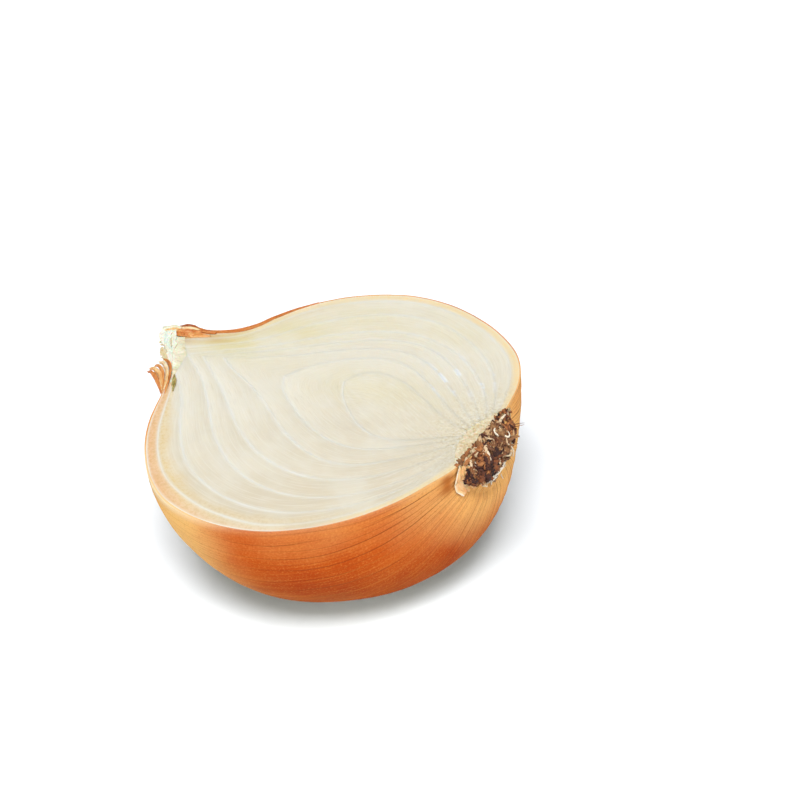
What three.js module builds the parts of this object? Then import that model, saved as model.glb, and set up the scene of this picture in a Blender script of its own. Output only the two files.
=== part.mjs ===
// Half of a yellow onion, cut from neck to root and lying on its round belly.
// Millimetres, +Z up. +X runs from the dry neck to the roots.
// The bulb is a set of nested scales (leaf bases) round a central bud. They are joined
// by the basal plate at the root end and wrapped in a thin dry skin.
import * as THREE from 'three';

// ---------------------------------------------------------------- driving dimensions
const GAP = 0.3;              // clearance between touching pieces
const SKIN = 0.75;            // outside of the skin to the middle of the gap under it
const FLAT_SAG = 1.3;         // depth of the small flat spot that the belly rests on
const PLATE_RIM = 0.9;        // thickness of the basal plate at its rim
const TUFT_HEIGHT = 6.2;      // how far the root tuft stands out of the plate
const TUFT_BACK = 2.5;        // from the skin's root edge to the tuft's back
const TILT_X = [0.99712, 0.0, 0.07584];          // where the cut plane's own axes point
const TILT_Y = [-0.00299, 0.99922, 0.03931];
const TILT_Z = [-0.07579, -0.03942, 0.99634];

// Depth of the belly as a share of its half width, and its bulge towards the root,
// along the bulb from the neck to the root.
const ALONG = [-40, -28, -14, 0, 12, 24, 38];
const DEPTH = [0.80, 0.80, 0.855, 0.96, 1.005, 1.07, 1.13];
const BULGE = [0, 0, 0.8, 0.3, 0.6, 2.4, 2.6];

// Edges of the layers on the cut face, each from the neck to the basal plate:
// [far edge, near edge], as x, y in the cut plane.
const LAYERS = [
  [ // outside of the dry skin
    [[-40, 9.8], [-36.5, 10.9], [-33.1, 12.4], [-29.2, 14.6], [-26.3, 17.8], [-24.3, 21.8], [-21.5, 26.1], [-17.9, 30.4], [-13.0, 34.6], [-6.4, 38.2], [0.2, 40.2], [6.5, 40.5], [13.4, 39.3], [20.9, 36.3], [27.0, 32.5], [31.6, 28.3], [34.7, 23.4], [36.6, 17.7], [37.2, 12.9], [37.4, 10.6]],
    [[-33.5, -8.6], [-32.7, -10.4], [-31.6, -14], [-30, -19], [-27.1, -25.1], [-23.4, -30.6], [-18.9, -35.7], [-13.5, -39.7], [-7.2, -42], [-0.9, -42.8], [4.7, -42.4], [9.5, -41.2], [13.9, -39.2], [20, -35.2], [25.5, -30.0], [30.2, -23.6], [33.7, -16.5], [36.0, -11.2], [36.2, -9.8]],
  ],
  [
    [[-38.8, 7.4], [-33.5, 9.9], [-28.5, 12.7], [-25.2, 16.2], [-22.8, 20.4], [-19.9, 24.9], [-16.2, 28.9], [-11.5, 32.7], [-5, 36.2], [0.5, 37.9], [6.5, 38.3], [13, 37.2], [20, 34.4], [25.8, 30.7], [30.2, 26.7], [33.0, 22.2], [34.9, 17.0], [35.9, 12.0], [36.2, 8.9]],
    [[-32.6, -6.4], [-31.0, -10], [-29.4, -14.1], [-26.7, -20.4], [-23.0, -26.7], [-18.6, -31.8], [-14.4, -35.0], [-9.5, -37.4], [-4.6, -38.9], [0.2, -39.6], [8, -39.3], [13.5, -37.2], [19.4, -33.3], [24.8, -28.3], [29.3, -22.2], [32.7, -15.0], [34.8, -8.2]],
  ],
  [
    [[-37.2, 5.3], [-31, 8.4], [-25.6, 11.5], [-21.2, 15.4], [-17.4, 20], [-12.5, 25], [-6, 29.6], [1, 32.4], [8, 33.2], [14, 32.0], [18.8, 29.6], [23.4, 26.6], [28, 22.5], [31.3, 17.8], [34.0, 12.2], [35.5, 7.3]],
    [[-33.8, -3.7], [-30.3, -7.4], [-26.8, -12.2], [-22.8, -18.7], [-18.4, -24.7], [-13.9, -29.1], [-8.7, -32.3], [-2, -34.7], [5, -35.4], [12, -34.1], [18.6, -30.5], [24.6, -25.4], [29.3, -19.3], [32.5, -12.8], [34.2, -7.0]],
  ],
  [
    [[-35.2, 2.9], [-30, 6.3], [-24, 9.7], [-18, 13.7], [-12.5, 18], [-6.5, 22.2], [0, 25.4], [6.5, 27.0], [13, 26.4], [19.1, 24.2], [24.1, 21.0], [28.3, 16.9], [31.6, 12.5], [33.7, 8.6], [34.8, 5.8]],
    [[-35.2, 2.9], [-32.3, 0.7], [-27.4, -3.4], [-22.7, -8.7], [-18.0, -14.7], [-12.8, -20.5], [-7.2, -25.0], [-0.9, -28.2], [4.7, -29.5], [10.5, -29.4], [16.3, -27.6], [22, -24.1], [27.3, -18.8], [31.3, -12.4], [33.7, -5.8]],
  ],
  [
    [[-31.5, 3.6], [-25, 7.5], [-18, 11.2], [-12, 15.0], [-6, 18.9], [0, 22.0], [6, 23.8], [11.5, 23.9], [16.3, 22.3], [21, 19.2], [25.4, 15.3], [29.2, 11.2], [32.3, 7.4], [34.2, 4.5]],
    [[-31.5, 3.6], [-27.5, 0.3], [-21.4, -4.9], [-15.7, -10.6], [-10.1, -15.8], [-4.8, -19.6], [0.2, -21.9], [4.8, -23.2], [9.6, -23.5], [14.6, -22.6], [20.2, -19.9], [25.8, -15.3], [30.3, -9.9], [33.4, -4.7]],
  ],
  [
    [[-27, 4.9], [-20, 7.8], [-13, 11.2], [-7, 14.9], [-1, 18.2], [5, 20.2], [11, 20.1], [16.0, 18.2], [20.4, 15.2], [24.4, 11.9], [28.6, 8.0], [31.6, 5.1], [33.7, 3.2]],
    [[-27, 4.9], [-22.5, 1.8], [-15.4, -2.1], [-8.2, -7.4], [-2.4, -12.0], [2.5, -15.1], [7.8, -17.3], [12.8, -17.9], [18.0, -16.4], [24.2, -12.0], [29.7, -7.0], [33.2, -3.5]],
  ],
  [
    [[-11, 3.8], [-8.5, 8.0], [-4.5, 11.8], [0, 14.7], [4.7, 16.5], [9.4, 16.8], [13.8, 15.4], [18.3, 12.6], [22.8, 9.1], [27.4, 5.6], [30.8, 3.4], [33.3, 1.9]],
    [[-11, 3.8], [-9.6, 0.4], [-5.9, -3.3], [-1.1, -7.0], [4.3, -10.2], [9.2, -12.0], [14.3, -12.2], [19, -10.8], [24, -7.9], [29, -4.6], [33.1, -2.2]],
  ],
  [
    [[1.8, 6.6], [3.6, 10.2], [7.2, 12.0], [11.7, 11.5], [15.9, 9.8], [20.2, 7.2], [25, 4.2], [30, 1.8], [33.1, 0.7]],
    [[1.8, 6.6], [4.0, 2.2], [8.2, -2.4], [12.3, -5.6], [16.3, -7.2], [20.7, -7.0], [25.3, -5.0], [30, -2.5], [33.1, -1.0]],
  ],
];
// Facets of each layer's surface: along the bulb, round the bulb. The second entry is
// the surface between the skin and the first scale.
const FACETS = [[30, 20], [24, 12], [20, 10], [18, 10], [16, 9], [14, 8], [14, 8], [12, 7], [10, 6]];

// ---------------------------------------------------------------- small tools
const V = (x, y, z) => new THREE.Vector3(x, y, z);
const tilt = (p) => V(
  TILT_X[0] * p.x + TILT_Y[0] * p.y + TILT_Z[0] * p.z,
  TILT_X[1] * p.x + TILT_Y[1] * p.y + TILT_Z[1] * p.z,
  TILT_X[2] * p.x + TILT_Y[2] * p.y + TILT_Z[2] * p.z);

function smooth(table, x) {
  // eased interpolation of a table over ALONG
  if (x <= ALONG[0]) return table[0];
  for (let i = 1; i < ALONG.length; i++) {
    if (x <= ALONG[i]) {
      const t = (x - ALONG[i - 1]) / (ALONG[i] - ALONG[i - 1]);
      const m = (k) => (k <= 0 || k >= ALONG.length - 1) ? 0
        : (table[k + 1] - table[k - 1]) / (ALONG[k + 1] - ALONG[k - 1]) * (ALONG[i] - ALONG[i - 1]);
      const a = table[i - 1], b = table[i], ma = m(i - 1), mb = m(i);
      return (2 * t ** 3 - 3 * t ** 2 + 1) * a + (t ** 3 - 2 * t ** 2 + t) * ma
        + (-2 * t ** 3 + 3 * t ** 2) * b + (t ** 3 - t ** 2) * mb;
    }
  }
  return table[table.length - 1];
}

function edge(points, n) {
  const curve = new THREE.CatmullRomCurve3(points.map((p) => V(p[0], p[1], 0)), false, 'centripetal');
  curve.arcLengthDivisions = 600;
  return curve.getSpacedPoints(n);
}

// Far and near edges of a layer as point rows; level 0.5 means the skin's inside.
function edges(level, n) {
  if (level !== 'skin') return LAYERS[level].map((e) => edge(e, n));
  const a = LAYERS[0].map((e) => edge(e, n)), b = LAYERS[1].map((e) => edge(e, n));
  return a.map((row, k) => row.map((p, i) => {
    const d = p.distanceTo(b[k][i]);
    return p.clone().lerp(b[k][i], Math.min(SKIN / d, 0.5));
  }));
}

// Grid of points of a layer's surface, rows from neck to root and columns from the far
// edge (0) round the belly to the near edge, in the cut plane's frame.
function surface(level, ns, nt) {
  const [far, near] = edges(level, ns);
  const grid = [];
  for (let i = 0; i <= ns; i++) {
    const xm = (far[i].x + near[i].x) / 2, xd = (far[i].x - near[i].x) / 2;
    const ym = (far[i].y + near[i].y) / 2, h = (far[i].y - near[i].y) / 2;
    const depth = smooth(DEPTH, xm) * h, bulge = smooth(BULGE, xm) * Math.min(1, h / 12);
    const row = [];
    for (let j = 0; j <= nt; j++) {
      const c = Math.cos(Math.PI * j / nt), s = j === 0 || j === nt ? 0 : Math.sin(Math.PI * j / nt);
      row.push(V(xm + xd * c + bulge * s * s, ym + h * c, -depth * s));
    }
    grid.push(row);
  }
  return grid;
}

// The same grid moved by d along its outward normals; the cut face stays flat.
function offset(grid, d) {
  const ns = grid.length - 1, nt = grid[0].length - 1;
  return grid.map((row, i) => row.map((p, j) => {
    const a = grid[Math.max(i - 1, 0)][j], b = grid[Math.min(i + 1, ns)][j];
    const closed = i === 0 && grid[0][0].distanceTo(grid[0][nt]) < 1e-6;
    if (closed) {
      const m = grid[1][0].clone().add(grid[1][nt]).multiplyScalar(0.5);
      const out = p.clone().sub(m); out.z = 0;
      return p.clone().addScaledVector(out.normalize(), d);
    }
    const t = b.clone().sub(a);
    const n = j === 0 ? V(-t.y, t.x, 0) : j === nt ? V(t.y, -t.x, 0) : t.cross(row[j + 1].clone().sub(row[j - 1]));
    n.normalize();
    return p.clone().addScaledVector(n, d);
  }));
}

// Closed mesh from a list of faces; each face is a list of points.
function closedMesh(faces) {
  const pts = [], key = new Map(), tris = [];
  const id = (p) => {
    const k = p.toArray().map((v) => Math.round(v * 1e5)).join(',');
    if (!key.has(k)) { key.set(k, pts.length); pts.push(p); }
    return key.get(k);
  };
  for (const [a, b, c] of faces) {
    const t = [id(a), id(b), id(c)];
    if (t[0] !== t[1] && t[1] !== t[2] && t[0] !== t[2]) tris.push(t);
  }
  let vol = 0;
  for (const [a, b, c] of tris) vol += pts[a].dot(pts[b].clone().cross(pts[c]));
  if (vol < 0) for (const t of tris) t.reverse();
  const g = new THREE.BufferGeometry();
  g.setAttribute('position', new THREE.Float32BufferAttribute(pts.flatMap((p) => p.toArray()), 3));
  g.setIndex(tris.flat());
  g.computeVertexNormals();
  return g;
}

function gridFaces(grid, flip = false) {
  const out = [];
  for (let i = 0; i + 1 < grid.length; i++) for (let j = 0; j + 1 < grid[0].length; j++) {
    const a = grid[i][j], b = grid[i + 1][j], c = grid[i + 1][j + 1], d = grid[i][j + 1];
    for (const f of [[a, b, c], [a, c, d]]) out.push(flip ? [f[0], f[2], f[1]] : f);
  }
  return out;
}

// Faces between two point rows of unequal counts; flip turns them over.
function zipper(p, q, flip = false) {
  const out = []; let i = 0, j = 0;
  while (i < p.length - 1 || j < q.length - 1) {
    const fi = (i + 1) / (p.length - 1), fj = (j + 1) / (q.length - 1);
    if (j === q.length - 1 || (i < p.length - 1 && fi <= fj)) { out.push([p[i], p[i + 1], q[j]]); i++; }
    else { out.push([p[i], q[j + 1], q[j]]); j++; }
  }
  return out.map((f) => (flip ? [f[0], f[2], f[1]] : f));
}

// Solid between an outer and an inner surface, or inside the outer one alone.
function shellFaces(outer, inner) {
  const nt = outer[0].length - 1, col = (g, j) => g.map((r) => r[j]);
  const f = gridFaces(outer);
  if (inner) {
    const mt = inner[0].length - 1;
    f.push(...gridFaces(inner, true));
    f.push(...zipper(col(outer, 0), col(inner, 0), true));
    f.push(...zipper(col(outer, nt), col(inner, mt)));
    f.push(...zipper(outer[0], inner[0]));
    f.push(...zipper(outer[outer.length - 1], inner[inner.length - 1], true));
  } else {
    const a = col(outer, 0), b = col(outer, nt);
    f.push(...zipper(a, b, true));
    for (const [ring, turn] of [[outer[0], false], [outer[outer.length - 1], true]]) {
      const m = ring[0].clone().add(ring[nt]).multiplyScalar(0.5);
      for (let j = 0; j < nt; j++) f.push(turn ? [m, ring[j + 1], ring[j]] : [m, ring[j], ring[j + 1]]);
      // the cut face meets the ring's middle
      f.push(turn ? [m, ring[0], ring[nt]] : [m, ring[nt], ring[0]]);
    }
  }
  return f;
}

// ---------------------------------------------------------------- materials
const skinMat = new THREE.MeshStandardMaterial({ color: 0xd9863f, roughness: 0.5, metalness: 0 });
const scaleMat = new THREE.MeshStandardMaterial({ color: 0xeee8d2, roughness: 0.35, metalness: 0 });
const firstMat = new THREE.MeshStandardMaterial({ color: 0xeec9a0, roughness: 0.35, metalness: 0 });
const budMat = new THREE.MeshStandardMaterial({ color: 0xe9e6c8, roughness: 0.35, metalness: 0 });
const plateMat = new THREE.MeshStandardMaterial({ color: 0xe0d2ac, roughness: 0.8, metalness: 0 });
const rootMat = new THREE.MeshStandardMaterial({ color: 0x5d4031, roughness: 0.9, metalness: 0 });
const neckMat = new THREE.MeshStandardMaterial({ color: 0xc9772f, roughness: 0.6, metalness: 0 });
const fibreMat = new THREE.MeshStandardMaterial({ color: 0xf1e3ba, roughness: 0.6, metalness: 0 });

// ---------------------------------------------------------------- the bulb
const grids = FACETS.map(([ns, nt], k) => surface(k === 0 ? 0 : k === 1 ? 'skin' : k - 1, ns, nt));

// Resting height: the lowest point of the outside, less the flat spot's depth.
let lowest = Infinity;
for (const row of surface(0, 120, 80)) for (const p of row) lowest = Math.min(lowest, tilt(p).z);
const REST_Z = lowest + FLAT_SAG;

const bodies = [];
const floorAt = (p, lift) => { const q = tilt(p); q.z = Math.max(q.z, REST_Z + lift); return q; };
// keeps the outside and the surfaces just under it above the resting plane
const settle = (grid, lift) => grid.map((row) => row.map((p) => floorAt(p, lift)));

const h = GAP / 2;
const plain = (grid) => grid.map((row) => row.map((p) => tilt(p)));
bodies.push(['dry_skin', closedMesh(shellFaces(settle(grids[0], 0), settle(offset(grids[1], h), SKIN - h))), skinMat]);
bodies.push(['scale_1', closedMesh(shellFaces(settle(offset(grids[1], -h), SKIN + h), plain(offset(grids[2], h)))), firstMat]);
for (let k = 2; k <= 7; k++) {
  bodies.push([`scale_${k}`, closedMesh(shellFaces(plain(offset(grids[k], -h)), plain(offset(grids[k + 1], h)))), scaleMat]);
}
bodies.push(['core_bud', closedMesh(shellFaces(plain(offset(grids[8], -h)), null)), budMat]);

// ---------------------------------------------------------------- basal plate
// Its inner face follows the root ends of the scales, its outer face carries the roots.
function plateFaces() {
  const nt = 10, rings = [];
  for (const lv of [0, 2, 4, 6]) {
    const g = surface(lv, 40, nt);
    rings.push(g[40].map((p) => p.clone()));
  }
  const mid = rings[3][0].clone().add(rings[3][nt]).multiplyScalar(0.5);
  rings.push(rings[3].map(() => mid.clone()));
  const shift = (k, d) => rings[k].map((p) => V(p.x + d, p.y, p.z));
  const inner = [0, 1, 2, 3, 4].map((k) => shift(k, GAP * 1.6));
  const far = rings[0][0], near = rings[0][nt], low = rings[0][nt / 2];
  const face = (p) => near.x + (far.x - near.x) * (p.y - near.y) / (far.y - near.y)
    + (low.x - (far.x + near.x) / 2) * (p.z / low.z) ** 2;
  const outer = inner.map((r, k) => r.map((p) => V(face(p) + GAP * 1.6 + PLATE_RIM + [0, 0.25, 0.4, 0.5, 0.5][k], p.y, p.z)));
  const f = [...gridFaces(inner, true), ...gridFaces(outer)];
  f.push(...zipper(inner[0], outer[0], true));
  for (const j of [0, nt]) {
    const a = inner.map((r) => r[j]), b = outer.map((r) => r[j]);
    f.push(...zipper(a, b, j === nt));
  }
  return f.map((t) => t.map((p) => tilt(p)));
}
bodies.push(['basal_plate', closedMesh(plateFaces()), plateMat]);

// ---------------------------------------------------------------- root tuft
// A lumpy half dome of dried rootlets in front of the plate.
function tuftFaces() {
  const nt = 12, nr = 5, base = surface(0, 40, nt)[40];
  const c = base[0].clone().add(base[nt]).multiplyScalar(0.5);
  const lump = (a, b) => 1 + 0.10 * Math.sin(3.1 * a + 1.3 * b) + 0.07 * Math.sin(5.3 * a - 2.1 * b + 1);
  const rows = [];
  for (let i = 0; i <= nr; i++) {
    const u = i / nr, r = Math.cos(u * Math.PI / 2) * 1.02, x = Math.sin(u * Math.PI / 2) * TUFT_HEIGHT;
    rows.push(base.map((p, j) => {
      const w = i === nr ? 0 : r * lump(j, i);
      return V(p.x + (c.x - p.x) * (1 - w) + TUFT_BACK + x, c.y - 1.2 * u + (p.y - c.y) * w, p.z * w);
    }));
  }
  const f = gridFaces(rows);
  // flat back against the plate and flat top in the cut plane
  const m = V(c.x + TUFT_BACK, c.y, 0);
  for (let j = 0; j < nt; j++) f.push([m, rows[0][j], rows[0][j + 1]]);
  const top = rows.map((r) => r[0]), low = rows.map((r) => r[nt]).reverse();
  const rim = [...top, ...low.slice(1)];
  for (let i = 0; i + 1 < rim.length; i++) f.push([m, rim[i + 1], rim[i]]);
  return f.map((t) => t.map((p) => tilt(p)));
}
bodies.push(['root_tuft', closedMesh(tuftFaces()), rootMat]);

// ---------------------------------------------------------------- dry neck
// Curled leaf ends: closed strips swept along a curve.
function strip(path, width, thick, up) {
  const curve = new THREE.CatmullRomCurve3(path.map((p) => V(...p)), false, 'centripetal');
  const n = 10, rows = [];
  for (let i = 0; i <= n; i++) {
    const u = i / n, p = curve.getPointAt(u), t = curve.getTangentAt(u);
    const side = V(...up).cross(t).normalize(), nrm = t.clone().cross(side).normalize();
    const w = width * (0.35 + 0.65 * Math.sin(Math.PI * Math.min(1, 0.18 + u * 0.75))), th = thick * (1 - 0.45 * u);
    const ring = [];
    for (let j = 0; j < 10; j++) {
      const a = 2 * Math.PI * j / 10, x = Math.cos(a) * w / 2;
      ring.push(p.clone().addScaledVector(side, x).addScaledVector(nrm, Math.sin(a) * th / 2 + 0.05 * x * x));
    }
    ring.push(ring[0]);
    rows.push(ring);
  }
  const f = gridFaces(rows);
  for (const [r, turn] of [[rows[0], false], [rows[n], true]]) {
    const m = r.slice(0, 10).reduce((s, p) => s.add(p), V(0, 0, 0)).multiplyScalar(0.1);
    for (let j = 0; j < 10; j++) f.push(turn ? [m, r[j + 1], r[j]] : [m, r[j], r[j + 1]]);
  }
  return f.map((t) => t.map((p) => tilt(p)));
}
bodies.push(['neck_leaf_far', closedMesh(strip([[-34.2, 13.1, 0.2], [-38.2, 12.3, 0.7], [-42.2, 11.2, 0.9], [-45.7, 9.2, 0.3]], 4.2, 1.2, [0.2, 0.5, 1])), neckMat]);
bodies.push(['neck_leaf_near', closedMesh(strip([[-34.6, -9.4, -0.2], [-36.8, -7.4, 0.2], [-39.0, -4.9, 0.4], [-40.9, -2.4, 0.6]], 4.0, 1.2, [-0.3, -0.6, 1])), neckMat]);
bodies.push(['neck_fibres', closedMesh(strip([[-40.6, 7.6, -1.2], [-42.2, 7.4, -0.6], [-43.8, 6.8, -0.2], [-45.4, 6.4, 0.0]], 5.0, 1.0, [0, 0, 1])), fibreMat]);

// ---------------------------------------------------------------- the half onion
// The outline's middle is brought over the origin and the flat spot to z = 0.
const box = new THREE.Box3();
for (const [, g] of bodies) { g.computeBoundingBox(); box.union(g.boundingBox); }
const PLACE = V(-(box.min.x + box.max.x) / 2, -(box.min.y + box.max.y) / 2, -REST_Z);

const onion = new THREE.Group();
onion.name = 'halved_onion';
onion.position.copy(PLACE);
const bulb = new THREE.Group(), rootEnd = new THREE.Group(), neckEnd = new THREE.Group();
onion.add(bulb, rootEnd, neckEnd);
for (const [name, geometry, material] of bodies) {
  const mesh = new THREE.Mesh(geometry, material);
  mesh.name = name;
  (/^(basal|root)/.test(name) ? rootEnd : /^neck/.test(name) ? neckEnd : bulb).add(mesh);
}

export default onion;
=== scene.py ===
import math

import bpy
import numpy as np
from mathutils import Matrix, Vector


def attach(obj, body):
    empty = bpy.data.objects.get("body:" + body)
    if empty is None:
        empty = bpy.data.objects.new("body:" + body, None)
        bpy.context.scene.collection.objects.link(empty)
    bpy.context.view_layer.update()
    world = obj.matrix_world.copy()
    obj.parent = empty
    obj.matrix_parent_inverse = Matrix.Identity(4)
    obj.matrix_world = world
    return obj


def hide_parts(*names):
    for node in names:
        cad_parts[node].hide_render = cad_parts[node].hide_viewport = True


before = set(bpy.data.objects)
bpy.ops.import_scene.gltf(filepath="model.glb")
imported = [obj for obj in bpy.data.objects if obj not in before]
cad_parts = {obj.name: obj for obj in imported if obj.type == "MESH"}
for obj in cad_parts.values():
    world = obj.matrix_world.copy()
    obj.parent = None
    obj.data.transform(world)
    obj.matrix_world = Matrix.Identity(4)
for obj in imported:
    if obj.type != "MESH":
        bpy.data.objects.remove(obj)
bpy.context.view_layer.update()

# ------------------------------------------------------------------ the frame of the cut plane
# Everything is laid out in millimetres in the cut plane: x from neck to root, y across, z up.
AX = np.array([[0.99712, -0.00299, -0.07579], [0.0, 0.99922, -0.03942], [0.07584, 0.03931, 0.99634]])
PLACE = np.array([-0.0768, 1.1206, 38.9370])
REST = 0.0
RNG = np.random.default_rng(20417)


def part(P, settle=True):
    """Cut-plane millimetres to the part's metres; the belly is eased onto the table."""
    Q = np.asarray(P, float) @ AX.T + PLACE
    if settle:
        z = Q[..., 2]
        e = 0.55
        low = 0.5 * (z + np.sqrt(z * z + e * e))
        Q[..., 2] = np.where(z < 6, low - 0.05 * np.exp(-(np.maximum(z, 0) / 1.5) ** 2), z)
    return Q * 0.001


LAYERS = [
    ([(-40, 9.8), (-36.5, 10.9), (-33.1, 12.4), (-29.2, 14.6), (-26.3, 17.8), (-24.3, 21.8), (-21.5, 26.1), (-17.9, 30.4), (-13.0, 34.6), (-6.4, 38.2), (0.2, 40.2), (6.5, 40.5), (13.4, 39.3), (20.9, 36.3), (27.0, 32.5), (31.6, 28.3), (34.7, 23.4), (36.6, 17.7), (37.2, 12.9), (37.4, 10.6)],
     [(-33.5, -8.6), (-32.7, -10.4), (-31.6, -14), (-30, -19), (-27.1, -25.1), (-23.4, -30.6), (-18.9, -35.7), (-13.5, -39.7), (-7.2, -42), (-0.9, -42.8), (4.7, -42.4), (9.5, -41.2), (13.9, -39.2), (20, -35.2), (25.5, -30.0), (30.2, -23.6), (33.7, -16.5), (36.0, -11.2), (36.2, -9.8)]),
    ([(-38.8, 7.4), (-33.5, 9.9), (-28.5, 12.7), (-25.2, 16.2), (-22.8, 20.4), (-19.9, 24.9), (-16.2, 28.9), (-11.5, 32.7), (-5, 36.2), (0.5, 37.9), (6.5, 38.3), (13, 37.2), (20, 34.4), (25.8, 30.7), (30.2, 26.7), (33.0, 22.2), (34.9, 17.0), (35.9, 12.0), (36.2, 8.9)],
     [(-32.6, -6.4), (-31.0, -10), (-29.4, -14.1), (-26.7, -20.4), (-23.0, -26.7), (-18.6, -31.8), (-14.4, -35.0), (-9.5, -37.4), (-4.6, -38.9), (0.2, -39.6), (8, -39.3), (13.5, -37.2), (19.4, -33.3), (24.8, -28.3), (29.3, -22.2), (32.7, -15.0), (34.8, -8.2)]),
    ([(-37.2, 5.3), (-31, 8.4), (-25.6, 11.5), (-21.2, 15.4), (-17.4, 20), (-12.5, 25), (-6, 29.6), (1, 32.4), (8, 33.2), (14, 32.0), (18.8, 29.6), (23.4, 26.6), (28, 22.5), (31.3, 17.8), (34.0, 12.2), (35.5, 7.3)],
     [(-33.8, -3.7), (-30.3, -7.4), (-26.8, -12.2), (-22.8, -18.7), (-18.4, -24.7), (-13.9, -29.1), (-8.7, -32.3), (-2, -34.7), (5, -35.4), (12, -34.1), (18.6, -30.5), (24.6, -25.4), (29.3, -19.3), (32.5, -12.8), (34.2, -7.0)]),
    ([(-35.2, 2.9), (-30, 6.3), (-24, 9.7), (-18, 13.7), (-12.5, 18), (-6.5, 22.2), (0, 25.4), (6.5, 27.0), (13, 26.4), (19.1, 24.2), (24.1, 21.0), (28.3, 16.9), (31.6, 12.5), (33.7, 8.6), (34.8, 5.8)],
     [(-35.2, 2.9), (-32.3, 0.7), (-27.4, -3.4), (-22.7, -8.7), (-18.0, -14.7), (-12.8, -20.5), (-7.2, -25.0), (-0.9, -28.2), (4.7, -29.5), (10.5, -29.4), (16.3, -27.6), (22, -24.1), (27.3, -18.8), (31.3, -12.4), (33.7, -5.8)]),
    ([(-31.5, 3.6), (-25, 7.5), (-18, 11.2), (-12, 15.0), (-6, 18.9), (0, 22.0), (6, 23.8), (11.5, 23.9), (16.3, 22.3), (21, 19.2), (25.4, 15.3), (29.2, 11.2), (32.3, 7.4), (34.2, 4.5)],
     [(-31.5, 3.6), (-27.5, 0.3), (-21.4, -4.9), (-15.7, -10.6), (-10.1, -15.8), (-4.8, -19.6), (0.2, -21.9), (4.8, -23.2), (9.6, -23.5), (14.6, -22.6), (20.2, -19.9), (25.8, -15.3), (30.3, -9.9), (33.4, -4.7)]),
    ([(-27, 4.9), (-20, 7.8), (-13, 11.2), (-7, 14.9), (-1, 18.2), (5, 20.2), (11, 20.1), (16.0, 18.2), (20.4, 15.2), (24.4, 11.9), (28.6, 8.0), (31.6, 5.1), (33.7, 3.2)],
     [(-27, 4.9), (-22.5, 1.8), (-15.4, -2.1), (-8.2, -7.4), (-2.4, -12.0), (2.5, -15.1), (7.8, -17.3), (12.8, -17.9), (18.0, -16.4), (24.2, -12.0), (29.7, -7.0), (33.2, -3.5)]),
    ([(-11, 3.8), (-8.5, 8.0), (-4.5, 11.8), (0, 14.7), (4.7, 16.5), (9.4, 16.8), (13.8, 15.4), (18.3, 12.6), (22.8, 9.1), (27.4, 5.6), (30.8, 3.4), (33.3, 1.9)],
     [(-11, 3.8), (-9.6, 0.4), (-5.9, -3.3), (-1.1, -7.0), (4.3, -10.2), (9.2, -12.0), (14.3, -12.2), (19, -10.8), (24, -7.9), (29, -4.6), (33.1, -2.2)]),
    ([(1.8, 6.6), (3.6, 10.2), (7.2, 12.0), (11.7, 11.5), (15.9, 9.8), (20.2, 7.2), (25, 4.2), (30, 1.8), (33.1, 0.7)],
     [(1.8, 6.6), (4.0, 2.2), (8.2, -2.4), (12.3, -5.6), (16.3, -7.2), (20.7, -7.0), (25.3, -5.0), (30, -2.5), (33.1, -1.0)]),
]
ALONG = np.array([-40, -28, -14, 0, 12, 24, 38.0])
DEPTH = np.array([0.80, 0.80, 0.855, 0.96, 1.005, 1.07, 1.13])
BULGE = np.array([0, 0, 0.8, 0.3, 0.6, 2.4, 2.6])


# ------------------------------------------------------------------ maths helpers
def smoothstep(a, b, x):
    t = np.clip((x - a) / (b - a), 0, 1)
    return t * t * (3 - 2 * t)


def _hash(ix, iy, iz, seed):
    h = (ix.astype(np.int64) * 374761393 + iy.astype(np.int64) * 668265263 + iz.astype(np.int64) * 2147483647 + seed * 974711)
    h = (h ^ (h >> 13)) * 1274126177
    h = (h ^ (h >> 16)) & 0xFFFFFF
    return h / float(0xFFFFFF) * 2 - 1


def vnoise(P, seed=0):
    """Smooth value noise, -1 to 1, at the points P (..., 3)."""
    P = np.asarray(P, float)
    i = np.floor(P).astype(np.int64)
    f = P - i
    u = f * f * f * (f * (f * 6 - 15) + 10)
    out = 0
    for dx in (0, 1):
        for dy in (0, 1):
            for dz in (0, 1):
                w = (u[..., 0] if dx else 1 - u[..., 0]) * (u[..., 1] if dy else 1 - u[..., 1]) * (u[..., 2] if dz else 1 - u[..., 2])
                out = out + w * _hash(i[..., 0] + dx, i[..., 1] + dy, i[..., 2] + dz, seed)
    return out


def fbm(P, octaves=4, seed=0, gain=0.5):
    P = np.asarray(P, float)
    a, s, out = 1.0, 0.0, 0
    for k in range(octaves):
        out = out + a * vnoise(P * 2.03 ** k + 17.3 * k, seed + 31 * k)
        s += a
        a *= gain
    return out / s


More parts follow.
